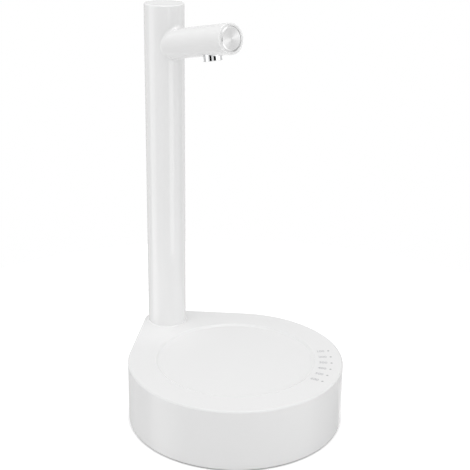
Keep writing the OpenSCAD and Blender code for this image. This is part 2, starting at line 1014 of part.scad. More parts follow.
module pump_cover() {
    color("ivory")
        in_pump()
            difference() {
                union() {
                    translate([0, 0, z_pump_cover])
                        linear_extrude(pump_cover_t)
                            capsule(pump_r, gear_gap);
                    for (side = [-1, 1])
                        translate([side * port_off, gear_gap / 2, pump_end - eps])
                            cylinder(r = barb_r, h = barb_l + eps);
                }
                translate([0, 0, z_pump_cover - eps])
                    cylinder(r = shaft_r + running, h = blind + eps);
                translate([0, gear_gap, z_pump_cover - eps])
                    cylinder(r = pin_r + press, h = blind + eps);
                for (side = [-1, 1])
                    translate([side * port_off, gear_gap / 2, z_pump_cover - eps])
                        cylinder(r = port_r, h = pump_cover_t + barb_l + 2 * eps);
                at_pump_screws()
                    translate([0, 0, z_pump_cover - eps])
                        cylinder(r = small_r + slip, h = pump_cover_t + 2 * eps);
            }
}

module pump_screws() {
    color("silver")
        in_pump()
            at_pump_screws()
                translate([0, 0, pump_end])
                    mirror([0, 0, 1])
                        screw(small_r, pump_screw_l - 0.5, small_head_r, small_head_t);
}

// Half the angle that a tooth takes up at a radius, on an involute flank
function involute(a) = tan(a) * 180 / PI - a;
function tooth_half(r) =
    90 / gear_teeth - backlash / 4 / pitch_r * 180 / PI + involute(pressure_angle)
    - involute(acos(min(1, pitch_r * cos(pressure_angle) / r)));

// Spur gear outline with a tooth on the X axis
module gear_outline() {
    flank_steps = 6;
    root_r = pitch_r - dedendum;
    tip_r = pitch_r + addendum;
    start_r = pitch_r * cos(pressure_angle);
    flank = [
        [root_r, tooth_half(start_r)],
        for (i = [0:flank_steps])
            let (r = start_r + (tip_r - start_r) * i / flank_steps) [r, tooth_half(r)]
    ];
    last = len(flank) - 1;
    function spot(r, a) = r * [cos(a), sin(a)];
    polygon([
        for (t = [0:gear_teeth - 1])
            let (mid = t * 360 / gear_teeth)
            each [
                for (i = [0:last]) spot(flank[i][0], mid - flank[i][1]),
                for (i = [last:-1:0]) spot(flank[i][0], mid + flank[i][1])
            ]
    ]);
}

module pump_gear(bore_r) {
    difference() {
        linear_extrude(gear_w)
            gear_outline();
        translate([0, 0, -eps])
            cylinder(r = bore_r, h = gear_w + 2 * eps);
    }
}

module drive_gear() {
    color("silver")
        in_pump()
            translate([0, 0, front_t + end_clear])
                rotate([0, 0, 90])
                    pump_gear(shaft_r + press);
}

module idler_gear() {
    color("lightsteelblue")
        in_pump()
            translate([0, gear_gap, front_t + end_clear])
                rotate([0, 0, 180 / gear_teeth - 90])
                    pump_gear(pin_r + running);
}

module idler_pin() {
    color("gray")
        in_pump()
            translate([0, gear_gap, front_t - blind + slip])
                cylinder(r = pin_r, h = chamber_l + gasket_t + 2 * (blind - slip));
}

module shaft_seal() {
    color("black")
        in_pump()
            translate([0, 0, motor_boss_h + slip])
                difference() {
                    cylinder(r = seal_r, h = seal_t);
                    translate([0, 0, -eps])
                        cylinder(r = shaft_r + running, h = seal_t + 2 * eps);
                    translate([0, 0, -eps])
                        cylinder(r = seal_r - 1, h = seal_t - 0.7 + eps);
                }
}

module motor_can() {
    color("silver")
        in_pump()
            difference() {
                union() {
                    translate([0, 0, -motor_l])
                        cylinder(r = motor_r, h = motor_l);
                    cylinder(r = motor_boss_r, h = motor_boss_h);
                }
                translate([0, 0, -motor_l - eps])
                    cylinder(r = motor_r - can_t, h = motor_l - can_t + eps);
                translate([0, 0, -can_t - eps])
                    cylinder(r = bush_r + press, h = far);
            }
}

module motor_end_cap() {
    plug_l = 3.4;
    color("dimgray")
        in_pump()
            difference() {
                union() {
                    translate([0, 0, -motor_l - end_cap_t])
                        cylinder(r = motor_r, h = end_cap_t);
                    translate([0, 0, -motor_l - eps])
                        cylinder(r = motor_r - can_t - slip, h = plug_l + eps);
                    translate([0, 0, -motor_l - end_cap_t - end_boss_h])
                        cylinder(r = motor_boss_r, h = end_boss_h + eps);
                    for (side = [-1, 1])
                        translate([-tab_size[1] / 2, side * tab_at - tab_size[0] / 2,
                            -motor_l - end_cap_t - tab_size[2]])
                            cube([tab_size[1], tab_size[0], tab_size[2] + eps]);
                }
                translate([0, 0, -motor_l])
                    cylinder(r = motor_r - can_t - 2, h = plug_l + eps);
                translate([0, 0, -motor_l - end_cap_t - bush_l / 2])
                    cylinder(r = bush_r + press, h = far);
                translate([0, 0, -motor_l - end_cap_t - end_boss_h + 0.6])
                    cylinder(r = shaft_r + 4 * running, h = far);
            }
}

module motor_magnets() {
    outer = motor_r - can_t - magnet_gap;
    color("dimgray")
        in_pump()
            for (side = [0, 180])
                rotate([0, 0, side - magnet_span / 2])
                    translate([0, 0, -motor_l + magnet_ends])
                        rotate_extrude(angle = magnet_span)
                            translate([outer - magnet_t, 0])
                                square([magnet_t, motor_l - 2 * magnet_ends]);
}

module motor_bushings() {
    color("darkgoldenrod")
        in_pump()
            for (z = [motor_boss_h - bush_l, -motor_l - end_cap_t - bush_l / 2])
                translate([0, 0, z])
                    difference() {
                        cylinder(r = bush_r, h = bush_l);
                        translate([0, 0, -eps])
                            cylinder(r = shaft_r + running, h = bush_l + 2 * eps);
                    }
}

module motor_shaft() {
    tail = motor_l + end_cap_t + end_boss_h - 1;
    color("gray")
        in_pump()
            translate([0, 0, -tail])
                cylinder(r = shaft_r, h = tail + z_pump_cover + blind - 3 * slip);
}

module armature() {
    color("gray")
        in_pump()
            translate([0, 0, armature_at - armature_l])
                difference() {
                    union() {
                        cylinder(r = pole_hub_r, h = armature_l);
                        for (p = [0:pole_count - 1])
                            rotate([0, 0, p * 360 / pole_count]) {
                                translate([pole_hub_r / 2, -pole_neck / 2, 0])
                                    cube([
                                        armature_r - pole_hub_r / 2 - pole_shoe_t / 2,
                                        pole_neck,
                                        armature_l
                                    ]);
                                rotate([0, 0, -pole_span / 2])
                                    rotate_extrude(angle = pole_span)
                                        translate([armature_r - pole_shoe_t, 0])
                                            square([pole_shoe_t, armature_l]);
                            }
                    }
                    translate([0, 0, -eps])
                        cylinder(r = shaft_r + press, h = armature_l + 2 * eps);
                }
}

module armature_coils() {
    overhang = 1.5;
    color("peru")
        in_pump()
            translate([0, 0, armature_at - armature_l])
                for (p = [0:pole_count - 1])
                    rotate([0, 0, p * 360 / pole_count])
                        difference() {
                            translate([pole_hub_r + 0.9, -pole_neck / 2 - coil_t, -overhang])
                                cube([armature_r - pole_shoe_t - pole_hub_r - 1.8, pole_neck + 2 * coil_t,
                                    armature_l + 2 * overhang]);
                            translate([0, -pole_neck / 2 - coil_gap, -coil_gap])
                                cube([armature_r, pole_neck + 2 * coil_gap, armature_l + 2 * coil_gap]);
                        }
}

module commutator() {
    slits = 3;
    slit_w = 0.5;
    color("peru")
        in_pump()
            translate([0, 0, -motor_l + 4])
                difference() {
                    cylinder(r = commutator_r, h = commutator_l);
                    translate([0, 0, -eps])
                        cylinder(r = shaft_r + press, h = commutator_l + 2 * eps);
                    for (a = [0:slits - 1])
                        rotate([0, 0, a * 360 / slits])
                            translate([commutator_r - slit_w, -slit_w / 2, -eps])
                                cube([slit_w + eps, slit_w, commutator_l + 2 * eps]);
                }
}

module motor_sleeve() {
    color("black")
        in_pump()
            translate([0, 0, sleeve_at - sleeve_l])
                difference() {
                    cylinder(r = sleeve_r, h = sleeve_l);
                    translate([0, 0, -eps])
                        cylinder(r = motor_r + press, h = sleeve_l + 2 * eps);
                }
}

module motor_strap() {
    inner = sleeve_r + running;
    leg = pump_z - z_strap;
    color("whitesmoke")
        difference() {
            union() {
                in_pump()
                    translate([0, 0, strap_at]) {
                        intersection() {
                            cylinder(r = strap_r, h = strap_l);
                            translate([0, -far / 2, -eps])
                                cube([far, far, strap_l + 2 * eps]);
                        }
                        translate([-leg, -strap_r, 0])
                            cube([leg, 2 * strap_r, strap_l]);
                        translate([-leg, -strap_r - strap_foot, 0])
                            cube([strap_t + 1, 2 * (strap_r + strap_foot), strap_l]);
                    }
            }
            in_pump()
                translate([0, 0, strap_at - eps]) {
                    cylinder(r = inner, h = strap_l + 2 * eps);
                    translate([-leg - eps, -inner, 0])
                        cube([leg + eps, 2 * inner, strap_l + 2 * eps]);
                }
            at_strap_screws()
                translate([0, 0, z_strap - eps])
                    cylinder(r = screw_r + slip, h = 4);
        }
}

module strap_screws() {
    color("silver")
        at_strap_screws()
            translate([0, 0, z_strap + strap_t + 1])
                mirror([0, 0, 1])
                    screw(screw_r, strap_screw_l + strap_t, screw_head_r, screw_head_t);
}

module hose_inlet() {
    color("whitesmoke")
        on_flank(hose_place, z_hose)
            difference() {
                union() {
                    cylinder(r = hose_collar_r, h = hose_collar_t);
                    translate([0, 0, hose_collar_t - eps])
                        cylinder(r = hose_r, h = hose_l - hose_lead + eps);
                    translate([0, 0, hose_collar_t])
                        cylinder(r1 = hose_r + hose_root, r2 = hose_r, h = hose_root);
                    translate([0, 0, hose_collar_t + hose_l - hose_lead])
                        cylinder(r1 = hose_r, r2 = hose_r - hose_lead, h = hose_lead);
                    translate([0, 0, -hose_body_l])
                        cylinder(r = hose_body_r, h = hose_body_l + eps);
                    translate([0, 0, -hose_body_l - barb_l])
                        cylinder(r = barb_r, h = barb_l + eps);
                }
                translate([0, 0, -far / 2])
                    cylinder(r = hose_bore_r, h = far);
            }
}

module hose_seal() {
    color("black")
        on_flank(hose_place, z_hose)
            translate([0, 0, -wall - hose_seal_t])
                difference() {
                    cylinder(r = hose_collar_r, h = hose_seal_t);
                    translate([0, 0, -eps])
                        cylinder(r = hose_body_r + slip, h = hose_seal_t + 2 * eps);
                }
}

module hose_nut() {
    color("whitesmoke")
        on_flank(hose_place, z_hose)
            translate([0, 0, -wall - hose_seal_t - hose_nut_t])
                difference() {
                    cylinder(r = hose_nut_r, h = hose_nut_t, $fn = 6);
                    translate([0, 0, -eps])
                        cylinder(r = hose_body_r + slip, h = hose_nut_t + 2 * eps);
                }
}

// Suction tube, from the hose inlet to the pump's upper port
suction_points = [
    flank_point(hose_place, -hose_body_l - tube_start_gap, z_hose),
    flank_point(hose_place, -suction_reach, z_hose),
    [tube_x, tube_y, z_hose],
    [tube_x, pump_y + gear_gap / 2, z_hose],
    pump_point(port_off, gear_gap / 2, pump_end + tube_start_gap)
];

// Delivery tube, from the pump's lower port up the column and along the spout to the nozzle's elbow
riser_meet = (riser_y - spout_end[1]) / cos(spout_tilt);
delivery_points = [
    pump_point(-port_off, gear_gap / 2, pump_end + tube_start_gap),
    [tube_x, pump_y + gear_gap / 2, pump_z - port_off],
    [tube_x, tube_back, pump_z - port_off],
    [0, riser_y - riser_lead, pump_z - port_off],
    [0, riser_y, pump_z - port_off],
    spout_point(0, 0, riser_meet),
    spout_point(0, 0, nozzle_setback + elbow_half + tube_start_gap)
];

module suction_tube() {
    color("lightgray")
        swept_tube(rounded_route(suction_points, tube_bend, tube_steps), tube_r, tube_ir, tube_sides);
}

module delivery_tube() {
    color("lightgray")
        swept_tube(rounded_route(delivery_points, tube_bend, tube_steps), tube_r, tube_ir, tube_sides);
}

module column_tube() {
    color("white")
        difference() {
            translate([0, column_y, z_seat])
                cylinder(r = column_r, h = z_top - cap_t - z_seat);
            translate([0, column_y, z_seat - eps])
                cylinder(r = column_ir, h = far);
            in_spout()
                translate([0, 0, -spout_l])
                    cylinder(r = spout_pass_r, h = spout_l);
        }
}

module column_plug() {
    color("dimgray")
        difference() {
            translate([0, column_y, z_seat])
                cylinder(r = column_ir - running, h = plug_h);
            translate([0, column_y, z_seat - eps])
                cylinder(r = pass_r, h = plug_h + 2 * eps);
            at_column_screws()
                translate([0, 0, z_seat - eps])
                    cylinder(r = screw_r + thread_bite, h = plug_h - 2);
        }
}

module column_screws() {
    color("silver")
        at_column_screws()
            translate([0, 0, z_ledge])
                screw(screw_r, ledge_t + plug_h - 4, screw_head_r, screw_head_t);
}

module column_cap() {
    color("white")
        translate([0, column_y, z_top - cap_t]) {
            rotate_extrude()
                edge_profile(column_r, cap_t, cap_round);
            translate([0, 0, -cap_plug_h])
                difference() {
                    cylinder(r = column_ir - running, h = cap_plug_h + cap_t / 2);
                    translate([0, 0, -eps])
                        cylinder(r = column_ir - 2, h = cap_plug_h + eps);
                }
        }
}

// Half section of the spout's wall, with a rounded outer rim and a chamfered inner one
module spout_section() {
    difference() {
        edge_profile(spout_r, spout_l, rim_round);
        translate([-eps, -eps])
            square([spout_ir + eps, spout_l + 2 * eps]);
        polygon([
            [spout_ir - eps, spout_l - rim_chamfer - eps],
            [spout_ir + rim_chamfer + eps, spout_l + eps],
            [spout_ir - eps, spout_l + eps]
        ]);
    }
}

module spout_tube() {
    color("white")
        difference() {
            in_spout()
                translate([0, 0, -spout_l])
                    rotate_extrude()
                        spout_section();
            translate([0, column_y, 0])
                cylinder(r = column_r + weld_gap, h = far);
            in_nozzle()
                cylinder(r = shank_r + slip, h = nozzle_end);
        }
}

module nozzle() {
    color("gainsboro")
        in_nozzle()
            difference() {
                union() {
                    translate([0, 0, shank_top])
                        cylinder(r = shank_r, h = spout_r - shank_top);
                    difference() {
                        union() {
                            translate([0, 0, spout_r / 2])
                                cylinder(r = nozzle_r, h = nozzle_end - lip_h / 2 - spout_r / 2);
                            translate([0, 0, nozzle_end - lip_h])
                                rotate_extrude()
                                    edge_profile(nozzle_r + lip_w, lip_h, lip_round);
                        }
                        rotate([90, 0, 0])
                            cylinder(r = spout_r + weld_gap, h = far, center = true);
                    }
                }
                translate([0, 0, screen_at])
                    cylinder(r = nozzle_bore_r, h = far);
                translate([0, 0, shank_top - eps])
                    cylinder(r = throat_r, h = far);
            }
}

module nozzle_screen() {
    rows = 2;
    color("silver")
        in_nozzle()
            translate([0, 0, screen_at + running])
                difference() {
                    cylinder(r = nozzle_bore_r - running, h = screen_t);
                    translate([0, 0, -eps])
                        cylinder(r = screen_hole_r, h = screen_t + 2 * eps);
                    for (ring = [1:rows], k = [0:6 * ring - 1])
                        rotate([0, 0, k * 60 / ring])
                            translate([ring * screen_pitch, 0, -eps])
                                cylinder(r = screen_hole_r, h = screen_t + 2 * eps);
                }
}

module nozzle_elbow() {
    color("whitesmoke")
        difference() {
            in_spout()
                translate([0, 0, -nozzle_setback - elbow_half])
                    difference() {
                        union() {
                            difference() {
                                cylinder(r = spout_ir - slip, h = 2 * elbow_half);
                                translate([-far / 2, elbow_flat, -eps])
                                    cube([far, far, 2 * elbow_half + 2 * eps]);
                            }
                            translate([0, 0, -barb_l])
                                cylinder(r = barb_r, h = barb_l + eps);
                        }
                        translate([0, 0, -barb_l - eps])
                            cylinder(r = hose_bore_r, h = barb_l + elbow_half + eps);
                    }
            in_nozzle() {
                translate([0, 0, shank_top - slip])
                    cylinder(r = shank_r + running, h = far);
                cylinder(r = throat_r, h = far);
            }
        }
}

module switch_housing() {
    color("whitesmoke")
        in_spout()
            difference() {
                translate([0, 0, -s_housing])
                    cylinder(r = spout_ir - running, h = s_housing - collar_sink);
                translate([0, 0, -s_guide])
                    cylinder(r = button_r + button_gap, h = s_guide + eps);
                translate([0, 0, -s_housing])
                    cylinder(r = stem_r + running, h = s_housing);
                translate([0, 0, -s_board - eps / 10])
                    cylinder(r = spout_ir - pocket_wall, h = s_board - s_guide_back + eps / 10);
                translate([0, 0, -s_housing - eps])
                    cylinder(r = spout_ir - pocket_wall / 2 + slip, h = s_housing - s_board + eps);
            }
}

module button_cap() {
    color("silver")
        in_spout()
            difference() {
                union() {
                    translate([0, 0, -s_face - bevel_d])
                        cylinder(r1 = button_r, r2 = button_r - bevel_w, h = bevel_d);
                    translate([0, 0, -s_skirt])
                        cylinder(r = button_r, h = button_skirt - bevel_d);
                }
                translate([0, 0, -s_skirt - eps])
                    cylinder(r = button_r - button_t, h = button_skirt - button_t + eps);
            }
}

module button_stem() {
    color("whitesmoke")
        in_spout()
            difference() {
                union() {
                    translate([0, 0, -s_under - stem_head_t])
                        cylinder(r = stem_head_r, h = stem_head_t);
                    translate([0, 0, -s_stem])
                        cylinder(r = stem_r, h = s_stem - s_under);
                }
                translate([0, 0, -s_clip - clip_t])
                    difference() {
                        cylinder(r = stem_r + eps, h = clip_t);
                        cylinder(r = stem_r - clip_neck, h = clip_t);
                    }
            }
}

module stem_clip() {
    color("silver")
        in_spout()
            translate([0, 0, -s_clip - clip_t + press])
                difference() {
                    cylinder(r = clip_r, h = clip_t - 2 * press);
                    translate([0, 0, -eps])
                        cylinder(r = stem_r - clip_neck + press, h = clip_t + 2 * eps);
                    translate([-stem_r + clip_neck, 0, -eps])
                        cube([2 * (stem_r - clip_neck), clip_r + eps, clip_t + 2 * eps]);
                }
}

// Helical spring between the guide and the button
spring_points = [
    for (i = [0:spring_turns * spring_rings])
        let (a = 360 * i / spring_rings)
        [spring_r * cos(a), spring_r * sin(a), -s_guide + spring_wire + spring_rise * i / spring_rings]
];
spring_gap = spring_rise - 2 * spring_wire;
echo(spring_least_gap = spring_gap);

module button_spring() {
    color("silver")
        in_spout()
            swept_tube(spring_points, spring_wire, 0, spring_sides);
}

module tact_switch() {
    color("black")
        in_spout() {
            translate([-switch_body[0] / 2, -switch_body[1] / 2, -s_board])
                cube(switch_body);
            translate([0, 0, -s_switch - eps])
                cylinder(r = actuator_r, h = actuator_h + eps);
        }
}

module switch_board() {
    color("seagreen")
        in_spout()
            translate([0, 0, -s_board - switch_board_t])
                cylinder(r = spout_ir - pocket_wall / 2, h = switch_board_t);
}

// Place of one of a plug's two leads
function plug_place(a, side) = [
    plug_at * cos(a) - side * lead_pitch * sin(a),
    plug_at * sin(a) + side * lead_pitch * cos(a)
];

module lead(points) {
    swept_tube(rounded_route(points, lead_bend, lead_steps), lead_r, 0, lead_sides);
}

// Leads of the button's switch, through the spout and the column to the control board
module switch_leads() {
    s_start = s_board + switch_board_t + slip;
    z_turn = z_ledge - 1.4;
    color("crimson")
        for (side = [-1, 1]) {
            drop = [4.2 + 0.6 * side, column_y - 2.8 + 1.1 * side];
            end = plug_place(switch_plug_a, side);
            lead([
                spout_point(side * lead_x, lead_up, s_start),
                spout_point(side * lead_x, lead_up, riser_meet - 8),
                [side * lead_x, column_y - 3, spout_end[2] - lead_fan],
                [drop[0], drop[1], z_seat + plug_h + 5],
                [drop[0], drop[1], z_turn],
                [11 + side, column_y - 12.5 + side, z_turn - 4],
                [0.4 * base_r + side, column_y - 33.5 + side, cover_top + 4],
                [base_r - 22 + side, 26, cover_top + 4],
                [end[0], end[1] + 14, cover_top + 10],
                [end[0], end[1], z_plug - lead_rise],
                [end[0], end[1], z_plug - slip]
            ]);
        }
}

module motor_leads() {
    tail = -motor_l - end_cap_t - tab_size[2] - slip;
    color("black")
        for (side = [-1, 1]) {
            end = plug_place(motor_plug_a, side);
            lead([
                pump_point(0, side * tab_at, tail),
                pump_point(0, side * tab_at, tail - 7.5 - 3 * side),
                [end[0], end[1] + 12, pump_z + lead_pitch * side],
                [end[0], end[1], z_plug - lead_rise],
                [end[0], end[1], z_plug - slip]
            ]);
        }
}

module battery_leads() {
    start_x = cell_l / 2 + contact_gap + contact_t / 2;
    z_start = z_cell + contact_size / 2 + slip;
    z_over = z_cell + cell_r + 4;
    z_end = z_board - board_t - slip;
    front_y = cell_y - cell_r - 6;
    pad_a = cell_pad_at * [cos(cell_pads[0]), sin(cell_pads[0])];
    pad_b = cell_pad_at * [cos(cell_pads[1]), sin(cell_pads[1])];
    color("crimson") {
        lead([
            [start_x, cell_y + 3, z_start],
            [start_x, cell_y + 3, z_over],
            [pad_b[0], pad_b[1], z_over],
            [pad_b[0], pad_b[1], z_end]
        ]);
        lead([
            [-start_x, cell_y + 3, z_start],
            [-start_x, cell_y + 3, z_over],
            [-start_x, front_y, z_over],
            [pad_a[0], front_y, z_cell],
            [pad_a[0], pad_a[1], z_end - lead_rise],
            [pad_a[0], pad_a[1], z_end]
        ]);
    }
}

base_housing();
bottom_cover();
foot_pad();
cover_screws();
indicator_lenses();
control_board();
board_screws();
board_chips();
indicator_leds();
charge_port();
charge_board();
battery_cell();
battery_holder();
battery_contacts();
pump_body();
pump_gasket();
pump_cover();
pump_screws();
drive_gear();
idler_gear();
idler_pin();
shaft_seal();
motor_can();
motor_end_cap();
motor_magnets();
motor_bushings();
motor_shaft();
armature();
armature_coils();
commutator();
motor_sleeve();
motor_strap();
strap_screws();
hose_inlet();
hose_seal();
hose_nut();
suction_tube();
delivery_tube();
column_tube();
column_plug();
column_screws();
column_cap();
spout_tube();
nozzle();
nozzle_elbow();
nozzle_screen();
switch_housing();
button_cap();
button_stem();
stem_clip();
button_spring();
tact_switch();
switch_board();
switch_leads();
motor_leads();
battery_leads();
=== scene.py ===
"""Looks of a white desktop water dispenser, dressed over its CAD frame in a plain pale studio."""

import math

import bmesh
import bpy
from bpy.props import FloatProperty, FloatVectorProperty, IntProperty, PointerProperty
from mathutils import Matrix, Quaternion, Vector


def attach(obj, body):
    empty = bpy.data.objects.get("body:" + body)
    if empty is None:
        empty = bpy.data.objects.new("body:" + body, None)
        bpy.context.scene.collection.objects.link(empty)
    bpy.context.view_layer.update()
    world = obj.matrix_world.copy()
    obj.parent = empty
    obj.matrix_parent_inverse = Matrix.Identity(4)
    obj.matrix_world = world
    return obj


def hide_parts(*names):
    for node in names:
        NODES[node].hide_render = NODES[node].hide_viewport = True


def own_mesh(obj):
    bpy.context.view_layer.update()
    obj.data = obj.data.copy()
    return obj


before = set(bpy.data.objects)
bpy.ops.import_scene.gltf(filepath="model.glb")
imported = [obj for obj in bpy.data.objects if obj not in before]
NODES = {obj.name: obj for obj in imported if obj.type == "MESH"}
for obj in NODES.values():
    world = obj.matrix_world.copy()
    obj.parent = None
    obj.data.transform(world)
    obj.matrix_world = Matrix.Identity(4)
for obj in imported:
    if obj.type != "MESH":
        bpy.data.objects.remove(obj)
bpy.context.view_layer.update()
MM = 0.001

bl_info = {
    "name": "Desktop Water Dispenser",
    "version": (1, 0, 0),
    "blender": (4, 5, 0),
    "location": "3D View > Sidebar > Dispenser",
    "description": "Finishes, button, printed marks and studio of a desktop water dispenser",
    "category": "Object",
}


def linear(code):
    """Linear colour of an sRGB hex value."""
    parts = [int(code[i:i + 2], 16) / 255 for i in (1, 3, 5)]
    return tuple(c / 12.92 if c <= 0.04045 else ((c + 0.055) / 1.055) ** 2.4 for c in parts)


class DispenserColours(bpy.types.PropertyGroup):
    """Main colours of the outside."""

    shell: FloatVectorProperty(
        name="Shell", description="Moulded ABS of the base",
        subtype="COLOR", size=3, min=0, max=1, default=linear("#ECECEC"))
    coating: FloatVectorProperty(
        name="Coating", description="Powder coat of the column and the spout",
        subtype="COLOR", size=3, min=0, max=1, default=linear("#F1F1F1"))
    chrome: FloatVectorProperty(
        name="Chrome", description="Plated nozzle",
        subtype="COLOR", size=3, min=0, max=1, default=linear("#DCDDDE"))
    steel: FloatVectorProperty(
        name="Button steel", description="Turned steel of the button",
        subtype="COLOR", size=3, min=0, max=1, default=linear("#C8C8C8"))
    ink: FloatVectorProperty(
        name="Ink", description="Printed marks beside the dots",
        subtype="COLOR", size=3, min=0, max=1, default=linear("#C2C2C4"))
    # The pad's dark grey is partly painted shade: it deepens the thin line under the base.
    pad: FloatVectorProperty(
        name="Foot pad", description="Silicone under the base",
        subtype="COLOR", size=3, min=0, max=1, default=linear("#303133"))


class DispenserSizes(bpy.types.PropertyGroup):
    """Sizes of the pieces that are modelled here, in the CAD frame."""

    spout_end: FloatVectorProperty(
        name="Spout end", description="Centre of the spout's rim", subtype="XYZ", unit="LENGTH", size=3,
        default=(0, 8.3 * MM, 248.2 * MM))
    spout_tilt: FloatProperty(
        name="Spout tilt", description="Upward tilt of the spout", subtype="ANGLE",
        default=math.radians(11.7))
    spout_radius: FloatProperty(
        name="Spout radius", description="Outside of the spout", unit="LENGTH", default=9.5 * MM)
    column_radius: FloatProperty(
        name="Column radius", description="Outside of the column", unit="LENGTH", default=13 * MM)
    column_y: FloatProperty(
        name="Column place", description="Distance of the column's axis behind the origin", unit="LENGTH",
        default=75.5 * MM)
    bead_radius: FloatProperty(
        name="Bead radius", description="Hollow of the bead round the column's foot", unit="LENGTH",
        default=0.7 * MM)
    weld_radius: FloatProperty(
        name="Weld radius", description="Hollow of the ground weld", unit="LENGTH", default=2.0 * MM)
    button_radius: FloatProperty(
        name="Button radius", description="Outside of the button's skirt", unit="LENGTH", default=7.64 * MM)
    face_radius: FloatProperty(
        name="Face radius", description="Edge of the turned face, where the bevel starts", unit="LENGTH",
        default=6.65 * MM)
    face_rise: FloatProperty(
        name="Face rise", description="Height of the face above the spout's rim", unit="LENGTH",
        default=0.4 * MM)
    bevel_depth: FloatProperty(
        name="Bevel depth", description="Depth of the bright bevel", unit="LENGTH", default=0.5 * MM)
    skirt_depth: FloatProperty(
        name="Skirt depth", description="Length of the button's skirt", unit="LENGTH", default=2.7 * MM)
    button_wall: FloatProperty(
        name="Button wall", description="Thickness of the button's sheet", unit="LENGTH", default=1.0 * MM)
    guide_depth: FloatProperty(
        name="Guide depth", description="Depth of the guide that the spring stands on, below the spout's rim",
        unit="LENGTH", default=3.9 * MM)
    coil_radius: FloatProperty(
        name="Coil radius", description="Middle of the spring's wire", unit="LENGTH", default=4.3 * MM)
    wire_radius: FloatProperty(
        name="Wire radius", description="Half the thickness of the spring's wire", unit="LENGTH",
        default=0.25 * MM)
    coil_turns: IntProperty(name="Coil turns", description="Turns of the spring", default=3, min=2, max=5)
    deck_height: FloatProperty(
        name="Deck height", description="Top of the deck above the table", unit="LENGTH", default=41.0 * MM)
    mark_radius: FloatProperty(
        name="Mark radius", description="Distance of the printed marks from the base's centre", unit="LENGTH",
        default=57.2 * MM)
    mark_start: FloatProperty(
        name="Mark start", description="Angle of the first mark", subtype="ANGLE",
        default=math.radians(-29))
    mark_step: FloatProperty(
        name="Mark step", description="Angle between two marks", subtype="ANGLE", default=math.radians(-8))
    mark_count: IntProperty(name="Marks", description="Number of printed marks", default=6, min=1, max=8)
    mark_height: FloatProperty(
        name="Mark height", description="Height of the printed figures", unit="LENGTH", default=2.6 * MM)


class DispenserStudio(bpy.types.PropertyGroup):
    """Camera and light of the studio."""

    eye: FloatVectorProperty(
        name="Eye", description="Place of the camera", subtype="XYZ", unit="LENGTH", size=3,
        default=(-0.40174, -0.48173, 0.36381))
    heading: FloatProperty(
        name="Heading", description="Direction of view round the vertical, from +Y", subtype="ANGLE",
        default=math.radians(-39.696))
    pitch: FloatProperty(
        name="Pitch", description="Downward tilt of the camera", subtype="ANGLE",
        default=math.radians(20.707))
    roll: FloatProperty(
        name="Roll", description="Roll of the camera", subtype="ANGLE", default=math.radians(0.785))
    lens: FloatProperty(
        name="Lens", description="Focal length for a 36 mm frame", unit="CAMERA", default=82.11)
    room_low: FloatProperty(
        name="Room walls", description="Brightness of the room at eye level and below", default=0.63, min=0)
    room_high: FloatProperty(
        name="Room ceiling", description="Brightness of the room overhead", default=0.78, min=0)
    left: FloatProperty(
        name="Left panel", description="Brightness of the tall light panel at the left",
        default=0.62, min=0)
    right: FloatProperty(
        name="Right panel", description="Brightness of the tall light panel at the right",
        default=0.97, min=0)
    overhead: FloatProperty(
        name="Overhead", description="Brightness of the softbox above the part", default=2.0, min=0)
    strip: FloatProperty(
        name="Strip", description="Brightness of the long strip that the button mirrors", default=1.0, min=0)


def new_material(name):
    """Empty node material with its output."""
    material = bpy.data.materials.new(name)
    material.use_nodes = True
    material.node_tree.nodes.clear()
    return material, material.node_tree


def add(tree, kind, links=None, **settings):
    """Adds a node, sets its properties and input values, and links the inputs given as sockets."""
    made = tree.nodes.new(kind)
    for key, value in settings.items():
        setattr(made, key, value)
    for key, value in (links or {}).items():
        if isinstance(value, bpy.types.NodeSocket):
            tree.links.new(value, made.inputs[key])
        else:
            made.inputs[key].default_value = value
    return made


def per_metre(size_mm):
    """Texture scale at which one feature is about this many millimetres wide."""
    return 1 / (size_mm * MM)


def rgba(colour):
    return (*colour, 1.0)


def seen_directly(tree):
    """1 for rays from the camera and for those that metal or glass passes on, 0 for scattered light."""
    path = add(tree, "ShaderNodeLightPath")
    mirrored = add(tree, "ShaderNodeMath", {
        0: path.outputs["Is Camera Ray"], 1: path.outputs["Is Glossy Ray"]}, operation="MAXIMUM")
    passed = add(tree, "ShaderNodeMath", {
        0: mirrored.outputs["Value"], 1: path.outputs["Is Transmission Ray"]}, operation="MAXIMUM")
    return passed.outputs["Value"]


